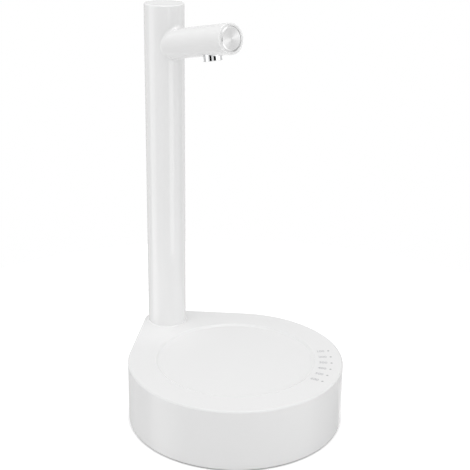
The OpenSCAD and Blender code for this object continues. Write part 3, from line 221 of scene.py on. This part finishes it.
def finish_material(name, low, high, rough, grain_mm, bump_mm=0.0, metallic=0.0, ior=1.5, coat=0.0,
                    pattern="noise", axis="X"):
    """Principled finish: colour and roughness drift over a pattern of grain_mm, which also gives the bump."""
    material, tree = new_material(name)
    place = add(tree, "ShaderNodeTexCoord")
    if pattern == "noise":
        grain = add(tree, "ShaderNodeTexNoise", {
            "Vector": place.outputs["Object"], "Scale": per_metre(grain_mm), "Detail": 3.0,
            "Roughness": 0.55})
        value = grain.outputs["Fac"]
    elif pattern == "cells":
        grain = add(tree, "ShaderNodeTexVoronoi", {
            "Vector": place.outputs["Object"], "Scale": per_metre(grain_mm)})
        value = grain.outputs["Distance"]
    else:
        # The wave node counts 20 radians for each unit of its scale. So a band with its gap is 2 pi times
        # grain_mm wide, because bands of the real width are too fine to show.
        wave_radians = 20
        grain = add(tree, "ShaderNodeTexWave", {
            "Vector": place.outputs["Object"], "Scale": per_metre(grain_mm) / wave_radians, "Distortion": 0.4,
            "Detail": 1.0}, wave_type="BANDS", bands_direction=axis, wave_profile="SIN")
        value = grain.outputs["Fac"]
    colour = add(tree, "ShaderNodeMix", {"Factor": value, "A": rgba(low), "B": rgba(high)},
                 data_type="RGBA")
    gloss = add(tree, "ShaderNodeMapRange", {"Value": value, "To Min": rough[0], "To Max": rough[1]})
    links = {
        "Base Color": colour.outputs["Result"], "Roughness": gloss.outputs["Result"], "Metallic": metallic,
        "IOR": ior, "Coat Weight": coat, "Coat Roughness": 0.12,
    }
    if bump_mm > 0:
        relief = add(tree, "ShaderNodeBump", {"Height": value, "Distance": bump_mm * MM, "Strength": 1.0})
        links["Normal"] = relief.outputs["Normal"]
    shader = add(tree, "ShaderNodeBsdfPrincipled", links)
    add(tree, "ShaderNodeOutputMaterial", {"Surface": shader.outputs["BSDF"]})
    return material


def dress(material, *names):
    """Gives CAD nodes a material in place of their plain one."""
    for name in names:
        slots = NODES[name].data.materials
        slots.clear()
        slots.append(material)


def shade(colour, amount):
    return tuple(c * amount for c in colour)


def soften(shape):
    """Shades the faces smooth, but not over edges that turn sharply."""
    sharp = math.radians(40)
    for face in shape.faces:
        face.smooth = True
    for edge in shape.edges:
        edge.smooth = edge.calc_face_angle(math.pi) < sharp


def place_mesh(name, shape, materials):
    """Turns a bmesh into an object of the scene."""
    mesh = bpy.data.meshes.new(name)
    shape.to_mesh(mesh)
    shape.free()
    for material in materials:
        mesh.materials.append(material)
    made = bpy.data.objects.new(name, mesh)
    bpy.context.scene.collection.objects.link(made)
    return made


def make_piece(name, shape, materials, body):
    """Turns a bmesh into a finished piece that rides on a body."""
    made = place_mesh(name, shape, materials)
    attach(made, body)
    return made


def at_spout_end(sizes):
    """Transform that turns an upright piece to the spout's axis and moves it to the spout's rim."""
    turned = Matrix.Rotation(math.pi / 2 - sizes.spout_tilt, 4, "X")
    return Matrix.Translation(Vector(sizes.spout_end)) @ turned


class DISPENSER_OT_shell(bpy.types.Operator):
    """Finishes the moulded base and its foot pad"""

    bl_idname = "dispenser.shell"
    bl_label = "Base shell"

    def execute(self, context):
        colours = context.scene.dispenser_colours
        white = tuple(colours.shell)
        # Injection-moulded ABS from a fine spark-eroded mould: an even satin white whose grain only breaks up
        # the highlights. The real grain is about 0.15 mm, too fine to show, so it is drawn at 0.8 mm.
        shell = finish_material("satin_moulded_abs", shade(white, 0.985), white, rough=(0.2, 0.25),
                                grain_mm=0.8, bump_mm=0.0004, ior=1.53)
        dress(shell, "base_housing", "switch_housing")
        # Pressed silicone: dull dark grey with a slight bloom of dust. The grey is darkened further as
        # painted shade, which deepens the thin line under the base.
        pad = finish_material("silicone_pad_with_painted_shade", shade(colours.pad, 0.8), tuple(colours.pad),
                              rough=(0.7, 0.85), grain_mm=2.5, bump_mm=0.01, ior=1.41)
        dress(pad, "foot_pad")
        # Clear acrylic light pipes over unlit lamps: small grey glossy dots.
        pipe = finish_material("acrylic_light_pipe", linear("#B4B5B6"), linear("#C2C3C4"),
                               rough=(0.12, 0.2), grain_mm=0.6, ior=1.49, coat=0.3)
        dress(pipe, "indicator_lenses")
        return {"FINISHED"}


class DISPENSER_OT_column(bpy.types.Operator):
    """Finishes the column, its cap and the spout"""

    bl_idname = "dispenser.column"
    bl_label = "Column and spout"

    def execute(self, context):
        white = tuple(context.scene.dispenser_colours.coating)
        # Powder-coated steel tube: satin white with a faint orange peel about 1.5 mm wide.
        coat = finish_material("powder_coated_steel", shade(white, 0.99), white, rough=(0.16, 0.2),
                               grain_mm=1.5, bump_mm=0.001, ior=1.5, coat=1.0)
        dress(coat, "column_tube", "column_cap", "spout_tube")
        return {"FINISHED"}


class DISPENSER_OT_weld(bpy.types.Operator):
    """Builds the ground weld that blends the spout into the column"""

    bl_idname = "dispenser.weld"
    bl_label = "Spout weld"

    def execute(self, context):
        sizes = context.scene.dispenser_sizes
        tip = Vector(sizes.spout_end)
        back = Vector((0, math.cos(sizes.spout_tilt), -math.sin(sizes.spout_tilt)))
        side = Vector((1, 0, 0))
        rise = side.cross(back)
        ball, tube, post = sizes.weld_radius, sizes.spout_radius, sizes.column_radius
        arcs, turns = 6, 96
        rows = [[] for _ in range(arcs + 1)]
        core = []
        for k in range(turns):
            angle = 2 * math.pi * k / turns
            out = math.cos(angle) * side + math.sin(angle) * rise
            start = tip + (tube + ball) * out
            # A ball of the weld's radius touches the tube and the column. Its centre is where it meets both.
            along = (sizes.column_y - start.y - math.sqrt((post + ball) ** 2 - start.x ** 2)) / back.y
            centre = start + along * back
            away = Vector((-centre.x, sizes.column_y - centre.y, 0)).normalized()
            swing = (-out).rotation_difference(away)
            for row, points in enumerate(rows):
                points.append(centre + ball * (Quaternion().slerp(swing, row / arcs) @ -out))
            # The strip closes behind, in the corner between tube and column.
            inwards = (away - out).normalized()
            core.append(centre + ball / inwards.dot(away) * inwards)
        shape = bmesh.new()
        loops = []
        for points in (*rows, core):
            verts = [shape.verts.new(p) for p in points]
            loops.append([shape.edges.new((verts[k], verts[k - 1])) for k in range(turns)])
        for k, loop in enumerate(loops):
            bmesh.ops.bridge_loops(shape, edges=loops[k - 1] + loop)
        bmesh.ops.recalc_face_normals(shape, faces=shape.faces)
        soften(shape)
        make_piece("ground_weld", shape, [bpy.data.materials["powder_coated_steel"]], "base")
        return {"FINISHED"}


class DISPENSER_OT_bead(bpy.types.Operator):
    """Lays the fine bead that closes the joint between the column and the deck"""

    bl_idname = "dispenser.bead"
    bl_label = "Foot bead"

    def execute(self, context):
        sizes = context.scene.dispenser_sizes
        hollow, post, deck = sizes.bead_radius, sizes.column_radius, sizes.deck_height
        bed = 0.05 * MM
        arc_step, arc_count, turns = 15, 6, 96
        arc = [math.radians(arc_step * k) for k in range(arc_count + 1)]
        profile = [(post + hollow * (1 - math.cos(a)), deck + hollow * (1 - math.sin(a))) for a in arc]
        profile += [(post + hollow, deck - bed), (post - bed, deck - bed), (post - bed, deck + hollow)]
        shape = bmesh.new()
        points = [shape.verts.new((r, 0, z)) for r, z in profile]
        edges = [shape.edges.new((points[k], points[k - 1])) for k in range(len(points))]
        bmesh.ops.spin(shape, geom=points + edges, cent=(0, 0, 0), axis=(0, 0, 1), angle=2 * math.pi,
                       steps=turns, use_merge=True)
        bmesh.ops.recalc_face_normals(shape, faces=shape.faces)
        soften(shape)
        bmesh.ops.translate(shape, verts=shape.verts, vec=(0, sizes.column_y, 0))
        # Smoothed silicone: a soft white line that takes the shadow out of the joint.
        white = tuple(context.scene.dispenser_colours.coating)
        silicone = finish_material("smoothed_silicone_bead", shade(white, 0.99), white,
                                   rough=(0.35, 0.42), grain_mm=0.8, ior=1.41)
        make_piece("foot_bead", shape, [silicone], "base")
        return {"FINISHED"}


class DISPENSER_OT_nozzle(bpy.types.Operator):
    """Finishes the chrome nozzle and its screen"""

    bl_idname = "dispenser.nozzle"
    bl_label = "Nozzle"

    def execute(self, context):
        bright = tuple(context.scene.dispenser_colours.chrome)
        # Bright chrome plate: a mirror with the faint haze of wiped water marks about 3 mm wide.
        plate = finish_material("bright_chrome_plate", shade(bright, 0.97), bright, rough=(0.03, 0.07),
                                grain_mm=3.0, metallic=1.0)
        dress(plate, "nozzle")
        # Punched stainless screen: grey and softly brushed.
        screen = finish_material("punched_stainless", linear("#8E8F90"), linear("#A2A3A4"),
                                 rough=(0.3, 0.42), grain_mm=0.4, metallic=1.0)
        dress(screen, "nozzle_screen")
        return {"FINISHED"}


class DISPENSER_OT_button(bpy.types.Operator):
    """Builds the push button with its turned face and bright bevel"""

    bl_idname = "dispenser.button"
    bl_label = "Push button"

    def turned_face(self, colour):
        """Steel faced on a lathe: fine rings that draw the light out into two fans."""
        material, tree = new_material("lathe_turned_steel")
        rings = add(tree, "ShaderNodeUVMap", uv_map="turning")
        along = add(tree, "ShaderNodeSeparateXYZ", {"Vector": rings.outputs["UV"]})
        # Tool marks are about 0.05 mm apart. They are drawn 0.3 mm apart, so that they can show at all.
        drawn_mm = 0.3
        count = add(tree, "ShaderNodeMath", {
            0: along.outputs["Y"], 1: per_metre(drawn_mm)}, operation="MULTIPLY")
        marks = add(tree, "ShaderNodeTexNoise", {
            "W": count.outputs["Value"], "Scale": 1.0, "Detail": 2.0}, noise_dimensions="1D")
        tone = add(tree, "ShaderNodeMix", {
            "Factor": marks.outputs["Fac"], "A": rgba(shade(colour, 0.9)), "B": rgba(colour)},
            data_type="RGBA")
        gloss = add(tree, "ShaderNodeMapRange", {
            "Value": marks.outputs["Fac"], "To Min": 0.26, "To Max": 0.36})
        turn = add(tree, "ShaderNodeTangent", direction_type="UV_MAP", uv_map="turning")
        shader = add(tree, "ShaderNodeBsdfPrincipled", {
            "Base Color": tone.outputs["Result"], "Roughness": gloss.outputs["Result"], "Metallic": 1.0,
            "Anisotropic": 0.85, "Anisotropic Rotation": 0.25, "Tangent": turn.outputs["Tangent"]})
        add(tree, "ShaderNodeOutputMaterial", {"Surface": shader.outputs["BSDF"]})
        return material

    def execute(self, context):
        sizes = context.scene.dispenser_sizes
        colour = tuple(context.scene.dispenser_colours.steel)
        top = sizes.face_rise
        rim = sizes.button_radius
        roll = 0.08 * MM
        merge_gap = 0.002 * MM
        rings, turns = 8, 128
        profile = [(sizes.face_radius * k / rings, top) for k in range(rings)]
        profile += [
            (sizes.face_radius - roll, top), (sizes.face_radius + roll / 2, top - roll / 2),
            (rim - roll, top - sizes.bevel_depth + roll / 2), (rim, top - sizes.bevel_depth - roll),
            (rim, top - sizes.skirt_depth + roll), (rim - roll, top - sizes.skirt_depth),
            (rim - sizes.button_wall + roll, top - sizes.skirt_depth),
            (rim - sizes.button_wall, top - sizes.skirt_depth + roll),
            (rim - sizes.button_wall, top - sizes.button_wall), (0, top - sizes.button_wall),
        ]
        shape = bmesh.new()
        points = [shape.verts.new((r, 0, z)) for r, z in profile]
        edges = [shape.edges.new(pair) for pair in zip(points, points[1:])]
        bmesh.ops.spin(shape, geom=points + edges, cent=(0, 0, 0), axis=(0, 0, 1), angle=2 * math.pi,
                       steps=turns, use_merge=True)
        bmesh.ops.remove_doubles(shape, verts=shape.verts, dist=merge_gap)
        bmesh.ops.recalc_face_normals(shape, faces=shape.faces)
        layer = shape.loops.layers.uv.new("turning")
        for face in shape.faces:
            centre = face.calc_center_median()
            flat = centre.z > top - roll / 4 and Vector((centre.x, centre.y)).length < sizes.face_radius
            bevel = not flat and centre.z > top - sizes.bevel_depth - roll
            face.material_index = 0 if flat else 1 if bevel else 2
            face.smooth = not flat
            middle = math.atan2(centre.y, centre.x)
            for loop in face.loops:
                spot = loop.vert.co
                radius = math.hypot(spot.x, spot.y)
                turn = math.atan2(spot.y, spot.x) if radius > merge_gap else middle
                turn = middle + math.remainder(turn - middle, 2 * math.pi)
                loop[layer].uv = (turn / (2 * math.pi), radius)
        bmesh.ops.transform(shape, verts=shape.verts, matrix=at_spout_end(sizes))
        # Bevel faced with a fine cut, with soft mirrors: the same steel painted lighter than the face, as a
        # painted highlight. The skirt keeps the plain drawn sheet.
        bevel = finish_material("steel_bevel_painted_highlight", shade(colour, 1.25), shade(colour, 1.3),
                                rough=(0.25, 0.32), grain_mm=1.0, metallic=1.0)
        skirt = finish_material("drawn_steel_sheet", shade(colour, 0.7), shade(colour, 0.8),
                                rough=(0.3, 0.4), grain_mm=0.8, metallic=1.0)
        button = make_piece("turned_button", shape, [self.turned_face(colour), bevel, skirt], "button")
        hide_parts("button_cap")
        return {"FINISHED"}


class DISPENSER_OT_spring(bpy.types.Operator):
    """Winds the spring behind the button"""

    bl_idname = "dispenser.spring"
    bl_label = "Button spring"

    def execute(self, context):
        sizes = context.scene.dispenser_sizes
        length = sizes.guide_depth + sizes.face_rise - sizes.button_wall
        wire = sizes.wire_radius
        seat_gap = 0.01 * MM
        wire_sides, turn_steps = 12, 36
        low = seat_gap + wire - sizes.guide_depth
        rise = length - 2 * (wire + seat_gap)
        steps = turn_steps * sizes.coil_turns
        shape = bmesh.new()
        section = Matrix.Translation((sizes.coil_radius, 0, low)) @ Matrix.Rotation(math.pi / 2, 4, "X")
        points = bmesh.ops.create_circle(shape, segments=wire_sides, radius=wire, matrix=section)["verts"]
        edges = list(shape.edges)
        bmesh.ops.spin(shape, geom=points + edges, cent=(0, 0, 0), axis=(0, 0, 1),
                       dvec=(0, 0, rise / steps), angle=2 * math.pi * sizes.coil_turns, steps=steps)
        bmesh.ops.holes_fill(shape, edges=[edge for edge in shape.edges if edge.is_boundary], sides=0)
        bmesh.ops.recalc_face_normals(shape, faces=shape.faces)
        soften(shape)
        placed = at_spout_end(sizes)
        bmesh.ops.transform(shape, verts=shape.verts, matrix=placed)
        # Drawn spring wire: bright grey, with the fine scratches of the die.
        steel = finish_material("drawn_spring_wire", linear("#8C8E91"), linear("#A9ABAE"),
                                rough=(0.18, 0.28), grain_mm=0.4, metallic=1.0)
        spring = make_piece("wound_spring", shape, [steel], "base")
        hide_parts("button_spring")
        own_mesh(spring)
        return {"FINISHED"}


class DISPENSER_OT_marks(bpy.types.Operator):
    """Prints a plain volume figure beside each indicator dot"""

    bl_idname = "dispenser.marks"
    bl_label = "Printed marks"

    def execute(self, context):
        sizes = context.scene.dispenser_sizes
        colour = tuple(context.scene.dispenser_colours.ink)
        # The font's size is about 1.4 times the height of its figures.
        type_scale = 1.4
        ink_half, ink_spread, ink_lift = 0.015 * MM, 0.08 * MM, 0.012 * MM
        merge_gap = 0.0005 * MM
        first_volume = 100
        shape = bmesh.new()
        for k in range(sizes.mark_count):
            words = bpy.data.curves.new("figure", "FONT")
            words.body = str(first_volume * (k + 1))
            words.align_x = "CENTER"
            words.align_y = "CENTER"
            words.size = sizes.mark_height * type_scale
            words.extrude = ink_half
            words.offset = ink_spread
            words.resolution_u = 3
            holder = bpy.data.objects.new("figure", words)
            context.scene.collection.objects.link(holder)
            context.view_layer.update()
            flat = bpy.data.meshes.new_from_object(holder.evaluated_get(context.evaluated_depsgraph_get()))
            angle = sizes.mark_start + k * sizes.mark_step
            place = (sizes.mark_radius * math.cos(angle), sizes.mark_radius * math.sin(angle),
                     sizes.deck_height + ink_lift)
            flat.transform(Matrix.Translation(place) @ Matrix.Rotation(angle, 4, "Z"))
            shape.from_mesh(flat)
            bpy.data.objects.remove(holder)
            bpy.data.meshes.remove(flat)
            bpy.data.curves.remove(words)
        bmesh.ops.remove_doubles(shape, verts=shape.verts, dist=merge_gap)
        bmesh.ops.recalc_face_normals(shape, faces=shape.faces)
        # Pad-printed ink: thin, matt and slightly uneven.
        ink = finish_material("pad_printed_ink", shade(colour, 0.92), colour, rough=(0.5, 0.6),
                              grain_mm=0.4, ior=1.5)
        make_piece("volume_figures", shape, [ink], "base")
        return {"FINISHED"}


class DISPENSER_OT_works(bpy.types.Operator):
    """Finishes the pump, motor, battery, boards, tubes and leads inside the base"""

    bl_idname = "dispenser.works"
    bl_label = "Inner works"

    def execute(self, context):
        # Plain white ABS straight from the mould.
        dress(finish_material("plain_moulded_abs", linear("#DEDEDB"), linear("#E6E6E3"),
                              rough=(0.45, 0.55), grain_mm=0.8, bump_mm=0.006),
              "bottom_cover", "motor_strap", "button_stem")
        # Polypropylene fittings: waxy white.
        dress(finish_material("waxy_polypropylene", linear("#E4E5E2"), linear("#ECECEA"),
                              rough=(0.35, 0.42), grain_mm=1.2, bump_mm=0.004),
              "hose_inlet", "hose_nut", "nozzle_elbow")
        # Nitrile rubber: black and dull.
        dress(finish_material("nitrile_rubber", linear("#1B1B1C"), linear("#2A2A2B"), rough=(0.65, 0.8),
                              grain_mm=1.0, bump_mm=0.02),
              "pump_gasket", "shaft_seal", "motor_sleeve", "hose_seal")
        # Milky silicone tube with a soft sheen.
        dress(finish_material("milky_silicone_tube", linear("#D6D9D8"), linear("#E2E4E3"),
                              rough=(0.4, 0.5), grain_mm=4.0, ior=1.41),
              "suction_tube", "delivery_tube")
        # Zinc-plated fasteners and pressed parts: cool grey with fine scuffs.
        dress(finish_material("zinc_plated_steel", linear("#9B9DA0"), linear("#B4B6B9"),
                              rough=(0.28, 0.42), grain_mm=0.5, metallic=1.0),
              "cover_screws", "board_screws", "pump_screws", "strap_screws", "column_screws", "stem_clip",
              "charge_port", "battery_contacts", "motor_can")
        # Ground steel pins, with fine lines across the axis.
        dress(finish_material("ground_steel", linear("#8C8E91"), linear("#A9ABAE"), rough=(0.18, 0.28),
                              grain_mm=0.4, metallic=1.0, pattern="bands", axis="X"),
              "motor_shaft", "idler_pin")
        # Stacked electrical sheet of 0.5 mm: dark iron with fine bands along the axis.
        dress(finish_material("stacked_sheet_iron", linear("#4B4C4E"), linear("#6A6B6D"),
                              rough=(0.4, 0.55), grain_mm=0.5, bump_mm=0.03, metallic=0.8,
                              pattern="bands", axis="X"),
              "armature")
        # Sintered ferrite: charcoal, slightly grainy.
        dress(finish_material("sintered_ferrite", linear("#2B2B2D"), linear("#39393B"), rough=(0.55, 0.7),
                              grain_mm=0.6, bump_mm=0.02),
              "motor_magnets")
        # Enamelled copper wire of 0.4 mm, wound side by side: warm and glossy, with bands.
        dress(finish_material("enamelled_copper", linear("#8A4A24"), linear("#B86A38"), rough=(0.2, 0.35),
                              grain_mm=0.4, bump_mm=0.08, metallic=0.9, pattern="bands", axis="Z"),
              "armature_coils", "commutator")
        # Oil-soaked sintered bronze with open pores.
        dress(finish_material("sintered_bronze", linear("#7C5F2E"), linear("#9A7B42"), rough=(0.4, 0.55),
                              grain_mm=0.3, bump_mm=0.02, metallic=0.9, pattern="cells"),
              "motor_bushings")
        # Glass-filled nylon: warm grey white with faint flow marks.
        dress(finish_material("glass_filled_nylon", linear("#CFCBC0"), linear("#DAD7CD"),
                              rough=(0.5, 0.62), grain_mm=1.5, bump_mm=0.01),
              "pump_body", "pump_cover")
        # Hobbed acetal gears: smooth and slightly waxy.
        dress(finish_material("hobbed_acetal", linear("#D9D6CA"), linear("#E5E2D8"), rough=(0.3, 0.4),
                              grain_mm=0.5, bump_mm=0.004),
              "drive_gear", "idler_gear")
        # Black ABS and moulded packages.
        dress(finish_material("black_moulded_abs", linear("#222326"), linear("#2F3033"),
                              rough=(0.45, 0.6), grain_mm=0.6, bump_mm=0.008),
              "motor_end_cap", "battery_holder", "column_plug", "board_chips", "tact_switch")
        # Green solder mask over copper tracks about 2 mm apart.
        dress(finish_material("solder_mask_board", linear("#0E4A2B"), linear("#1C6B40"),
                              rough=(0.25, 0.35), grain_mm=2.0, bump_mm=0.02, pattern="cells"),
              "control_board", "charge_board", "switch_board")
        # Clear resin over a pale yellow phosphor.
        dress(finish_material("phosphor_resin", linear("#E9E2B4"), linear("#F3EDC8"), rough=(0.15, 0.25),
                              grain_mm=0.5, coat=0.4),
              "indicator_leds")
        # Heat-shrunk sleeve of the cell: blue with soft gloss.
        dress(finish_material("shrink_sleeve", linear("#2C5A8C"), linear("#35689F"), rough=(0.25, 0.35),
                              grain_mm=6.0, coat=0.2),
              "battery_cell")
        # Extruded wire insulation.
        dress(finish_material("red_insulation", linear("#9E1E1E"), linear("#B22A28"), rough=(0.4, 0.5),
                              grain_mm=2.0),
              "switch_leads", "battery_leads")
        dress(finish_material("black_insulation", linear("#18181A"), linear("#242426"), rough=(0.4, 0.5),
                              grain_mm=2.0),
              "motor_leads")
        return {"FINISHED"}


class DISPENSER_OT_stage(bpy.types.Operator):
    """Sets up the floor, the even light, the lamps, the cards and the camera"""

    bl_idname = "dispenser.stage"
    bl_label = "Studio"

    def floor(self):
        """Lit white table that keeps the part's shadow."""
        radius, corners = 0.32, 96
        glow_start, glow_end, glow_level = 68.8 * MM, 70.4 * MM, 0.34
        shape = bmesh.new()
        bmesh.ops.create_circle(shape, cap_ends=True, segments=corners, radius=radius)
        material, tree = new_material("white_studio_floor")
        paint = add(tree, "ShaderNodeBsdfDiffuse", {"Color": rgba(linear("#EDEDED"))})
        # The table glows up to the base's edge, so that the dark line under it stays. Polished surfaces show
        # the white room and the cards behind the part in its place, which keeps the part's lower edges clear.
        place = add(tree, "ShaderNodeTexCoord")
        reach = add(tree, "ShaderNodeVectorMath", {0: place.outputs["Object"]}, operation="LENGTH")
        level = add(tree, "ShaderNodeMapRange", {
            "Value": reach.outputs["Value"], "From Min": glow_start, "From Max": glow_end,
            "To Max": glow_level})
        glow = add(tree, "ShaderNodeEmission", {"Color": (1, 1, 1, 1), "Strength": level.outputs["Result"]})
        lit = add(tree, "ShaderNodeAddShader", {0: paint.outputs["BSDF"], 1: glow.outputs["Emission"]})
        mix = add(tree, "ShaderNodeMixShader", {
            "Fac": seen_directly(tree), 1: paint.outputs["BSDF"], 2: lit.outputs["Shader"]})
        add(tree, "ShaderNodeOutputMaterial", {"Surface": mix.outputs["Shader"]})
        made = place_mesh("studio_floor", shape, [material])
        made.visible_glossy = False

    def room(self, context, studio):
        """Even light from all round, before a white backdrop."""
        world = bpy.data.worlds.new("white_room")
        world.use_nodes = True
        tree = world.node_tree
        tree.nodes.clear()
        place = add(tree, "ShaderNodeTexCoord")
        split = add(tree, "ShaderNodeSeparateXYZ", {"Vector": place.outputs["Generated"]})
        height = add(tree, "ShaderNodeMapRange", {
            "Value": split.outputs["Z"], "To Min": studio.room_low, "To Max": studio.room_high})
        even = add(tree, "ShaderNodeBackground", {
            "Color": (1, 1, 1, 1), "Strength": height.outputs["Result"]})
        white = add(tree, "ShaderNodeBackground", {"Color": (1, 1, 1, 1), "Strength": 1.0})
        mix = add(tree, "ShaderNodeMixShader", {
            "Fac": seen_directly(tree), 1: even.outputs["Background"], 2: white.outputs["Background"]})
        add(tree, "ShaderNodeOutputWorld", {"Surface": mix.outputs["Shader"]})
        context.scene.world = world

    def bearing(self, context, angle):
        """Angle round the vertical, counted in degrees from the camera's side of the part."""
        return context.scene.dispenser_studio.heading + math.radians(angle)

    def hang(self, context, name, lamp, angle, reach, height, aim):
        """Hangs a lamp at an angle round the part from the camera and turns it to its aim."""
        turn = self.bearing(context, angle)
        place = Vector((reach * math.sin(turn), -reach * math.cos(turn), height))
        turned = (aim - place).to_track_quat("-Z", "Y").to_matrix().to_4x4()
        holder = bpy.data.objects.new(name, lamp)
        holder.matrix_world = Matrix.Translation(place) @ turned
        holder.visible_camera = False
        context.scene.collection.objects.link(holder)
        return holder

    def softbox(self, context, name, angle, reach, height, size, brightness):
        """Area lamp that is turned to the part's middle, or level where it hangs lower."""
        middle = 0.15
        lamp = bpy.data.lights.new(name, "AREA")
        lamp.shape = "RECTANGLE"
        lamp.size, lamp.size_y = size
        lamp.energy = brightness * math.pi * size[0] * size[1]
        self.hang(context, name, lamp, angle, reach, height, Vector((0, 0, min(height, middle))))

    def snoot(self, context, name, angle, reach, height, aim, cone, radius, power):
        """Soft narrow lamp that is turned to one spot of the part, and that no polished surface shows."""
        lamp = bpy.data.lights.new(name, "SPOT")
        lamp.energy = power
        lamp.spot_size = cone
        lamp.spot_blend = 1.0
        lamp.shadow_soft_size = radius
        holder = self.hang(context, name, lamp, angle, reach, height, aim)
        holder.visible_glossy = False

    def board(self, name, colour):
        """Dull material of the cards round the part."""
        material, tree = new_material(name)
        dull = add(tree, "ShaderNodeBsdfDiffuse", {"Color": rgba(linear(colour))})
        add(tree, "ShaderNodeOutputMaterial", {"Surface": dull.outputs["BSDF"]})
        return material

    def card(self, context, name, material, angle, reach, height, size):
        """Upright card at an angle round the part from the camera, which only polished surfaces show."""
        shape = bmesh.new()
        bmesh.ops.create_grid(shape, x_segments=1, y_segments=1, size=0.5)
        bmesh.ops.scale(shape, vec=(*size, 1), verts=shape.verts)
        upright = Matrix.Translation((0, -reach, height)) @ Matrix.Rotation(math.pi / 2, 4, "X")
        turned = Matrix.Rotation(self.bearing(context, angle), 4, "Z") @ upright
        bmesh.ops.transform(shape, verts=shape.verts, matrix=turned)
        made = place_mesh(name, shape, [material])
        made.visible_camera = False
        made.visible_diffuse = False
        made.visible_shadow = False

    def camera(self, context, studio):
        """Camera of the photograph."""
        turn, tip, roll = studio.heading, studio.pitch, studio.roll
        ahead = Vector((-math.sin(turn) * math.cos(tip), math.cos(turn) * math.cos(tip), -math.sin(tip)))
        level = Vector((math.cos(turn), math.sin(turn), 0))
        above = level.cross(ahead)
        right = math.cos(roll) * level + math.sin(roll) * above
        up = math.cos(roll) * above - math.sin(roll) * level
        lens = bpy.data.cameras.new("photo_view")
        lens.lens = studio.lens
        lens.sensor_width = 36.0
        lens.sensor_fit = "HORIZONTAL"
        lens.clip_start = 0.02
        lens.clip_end = 20.0
        holder = bpy.data.objects.new("photo_view", lens)
        pose = Matrix((right, up, -ahead)).transposed().to_4x4()
        pose.translation = Vector(studio.eye)
        holder.matrix_world = pose
        context.scene.collection.objects.link(holder)
        context.scene.camera = holder

    def execute(self, context):
        studio = context.scene.dispenser_studio
        sizes = context.scene.dispenser_sizes
        self.floor()
        self.room(context, studio)
        self.softbox(context, "left_panel", angle=-80, reach=1.0, height=0.15, size=(0.75, 1.6),
                     brightness=studio.left)
        self.softbox(context, "right_panel", angle=39, reach=1.0, height=0.0, size=(0.5, 0.7),
                     brightness=studio.right)
        self.softbox(context, "button_strip", angle=78, reach=1.0, height=0.39, size=(1.4, 0.16),
                     brightness=studio.strip)
        self.softbox(context, "overhead_box", angle=0, reach=0.1, height=1.25, size=(0.8, 0.8),
                     brightness=studio.overhead)
        # Two narrow lamps lift the column's foot and the deck before it.
        foot = Vector((0, sizes.column_y, 50 * MM))
        self.snoot(context, "foot_snoot", angle=35, reach=1.0, height=0.3, aim=foot, cone=math.radians(6),
                   radius=0.05, power=4.2)
        deck = Vector((-12 * MM, sizes.column_y - 10 * MM, sizes.deck_height))
        self.snoot(context, "deck_snoot", angle=-60, reach=0.3, height=0.9, aim=deck, cone=math.radians(4),
                   radius=0.015, power=3.2)
        # Black cards give the chrome its dark bands. White and grey ones behind the part keep its edges apart
        # from the backdrop.
        felt = self.board("black_felt_card", "#101010")
        foam = self.board("white_foam_card", "#F2F2F2")
        wool = self.board("grey_felt_card", "#C8C8C8")
        self.card(context, "left_flag", felt, angle=-28, reach=0.85, height=0.26, size=(0.39, 0.22))
        self.card(context, "right_flag", felt, angle=26.5, reach=0.85, height=0.38, size=(0.47, 0.22))
        self.card(context, "right_low_flat", wool, angle=118, reach=0.9, height=-0.3, size=(1.0, 0.7))
        self.card(context, "left_low_flat", foam, angle=-130, reach=0.8, height=-0.3, size=(1.1, 0.7))
        self.card(context, "left_flat", foam, angle=-130, reach=0.8, height=0.525, size=(1.1, 0.95))
        self.card(context, "right_flat", foam, angle=145, reach=0.8, height=0.3, size=(0.7, 1.4))
        self.card(context, "rear_flat", foam, angle=180, reach=0.9, height=0.75, size=(0.8, 1.0))
        self.camera(context, studio)
        context.scene.view_settings.view_transform = "Standard"
        return {"FINISHED"}


class DISPENSER_PT_panel(bpy.types.Panel):
    """Lists the pieces of the dispenser in the order they are made"""

    bl_idname = "DISPENSER_PT_panel"
    bl_label = "Water Dispenser"
    bl_space_type = "VIEW_3D"
    bl_region_type = "UI"
    bl_category = "Dispenser"

    def draw(self, context):
        scene = context.scene
        groups = {
            "Colours": scene.dispenser_colours, "Sizes": scene.dispenser_sizes,
            "Studio": scene.dispenser_studio}
        for title, group in groups.items():
            box = self.layout.box()
            box.label(text=title)
            for key in group.__annotations__:
                box.prop(group, key)
        for operator in OPERATORS:
            self.layout.operator(operator.bl_idname)


GROUPS = (DispenserColours, DispenserSizes, DispenserStudio)
OPERATORS = (
    DISPENSER_OT_shell, DISPENSER_OT_column, DISPENSER_OT_weld, DISPENSER_OT_bead, DISPENSER_OT_nozzle,
    DISPENSER_OT_button, DISPENSER_OT_spring, DISPENSER_OT_marks, DISPENSER_OT_works, DISPENSER_OT_stage)


def register():
    for item in (*GROUPS, *OPERATORS, DISPENSER_PT_panel):
        bpy.utils.register_class(item)
    bpy.types.Scene.dispenser_colours = PointerProperty(type=DispenserColours)
    bpy.types.Scene.dispenser_sizes = PointerProperty(type=DispenserSizes)
    bpy.types.Scene.dispenser_studio = PointerProperty(type=DispenserStudio)


def unregister():
    del bpy.types.Scene.dispenser_studio
    del bpy.types.Scene.dispenser_sizes
    del bpy.types.Scene.dispenser_colours
    for item in reversed((*GROUPS, *OPERATORS, DISPENSER_PT_panel)):
        bpy.utils.unregister_class(item)


def main():
    register()
    bpy.ops.dispenser.shell()
    bpy.ops.dispenser.column()
    bpy.ops.dispenser.weld()
    bpy.ops.dispenser.bead()
    bpy.ops.dispenser.nozzle()
    bpy.ops.dispenser.button()
    bpy.ops.dispenser.spring()
    bpy.ops.dispenser.marks()
    bpy.ops.dispenser.works()
    bpy.ops.dispenser.stage()


if __name__ == "__main__":
    main()
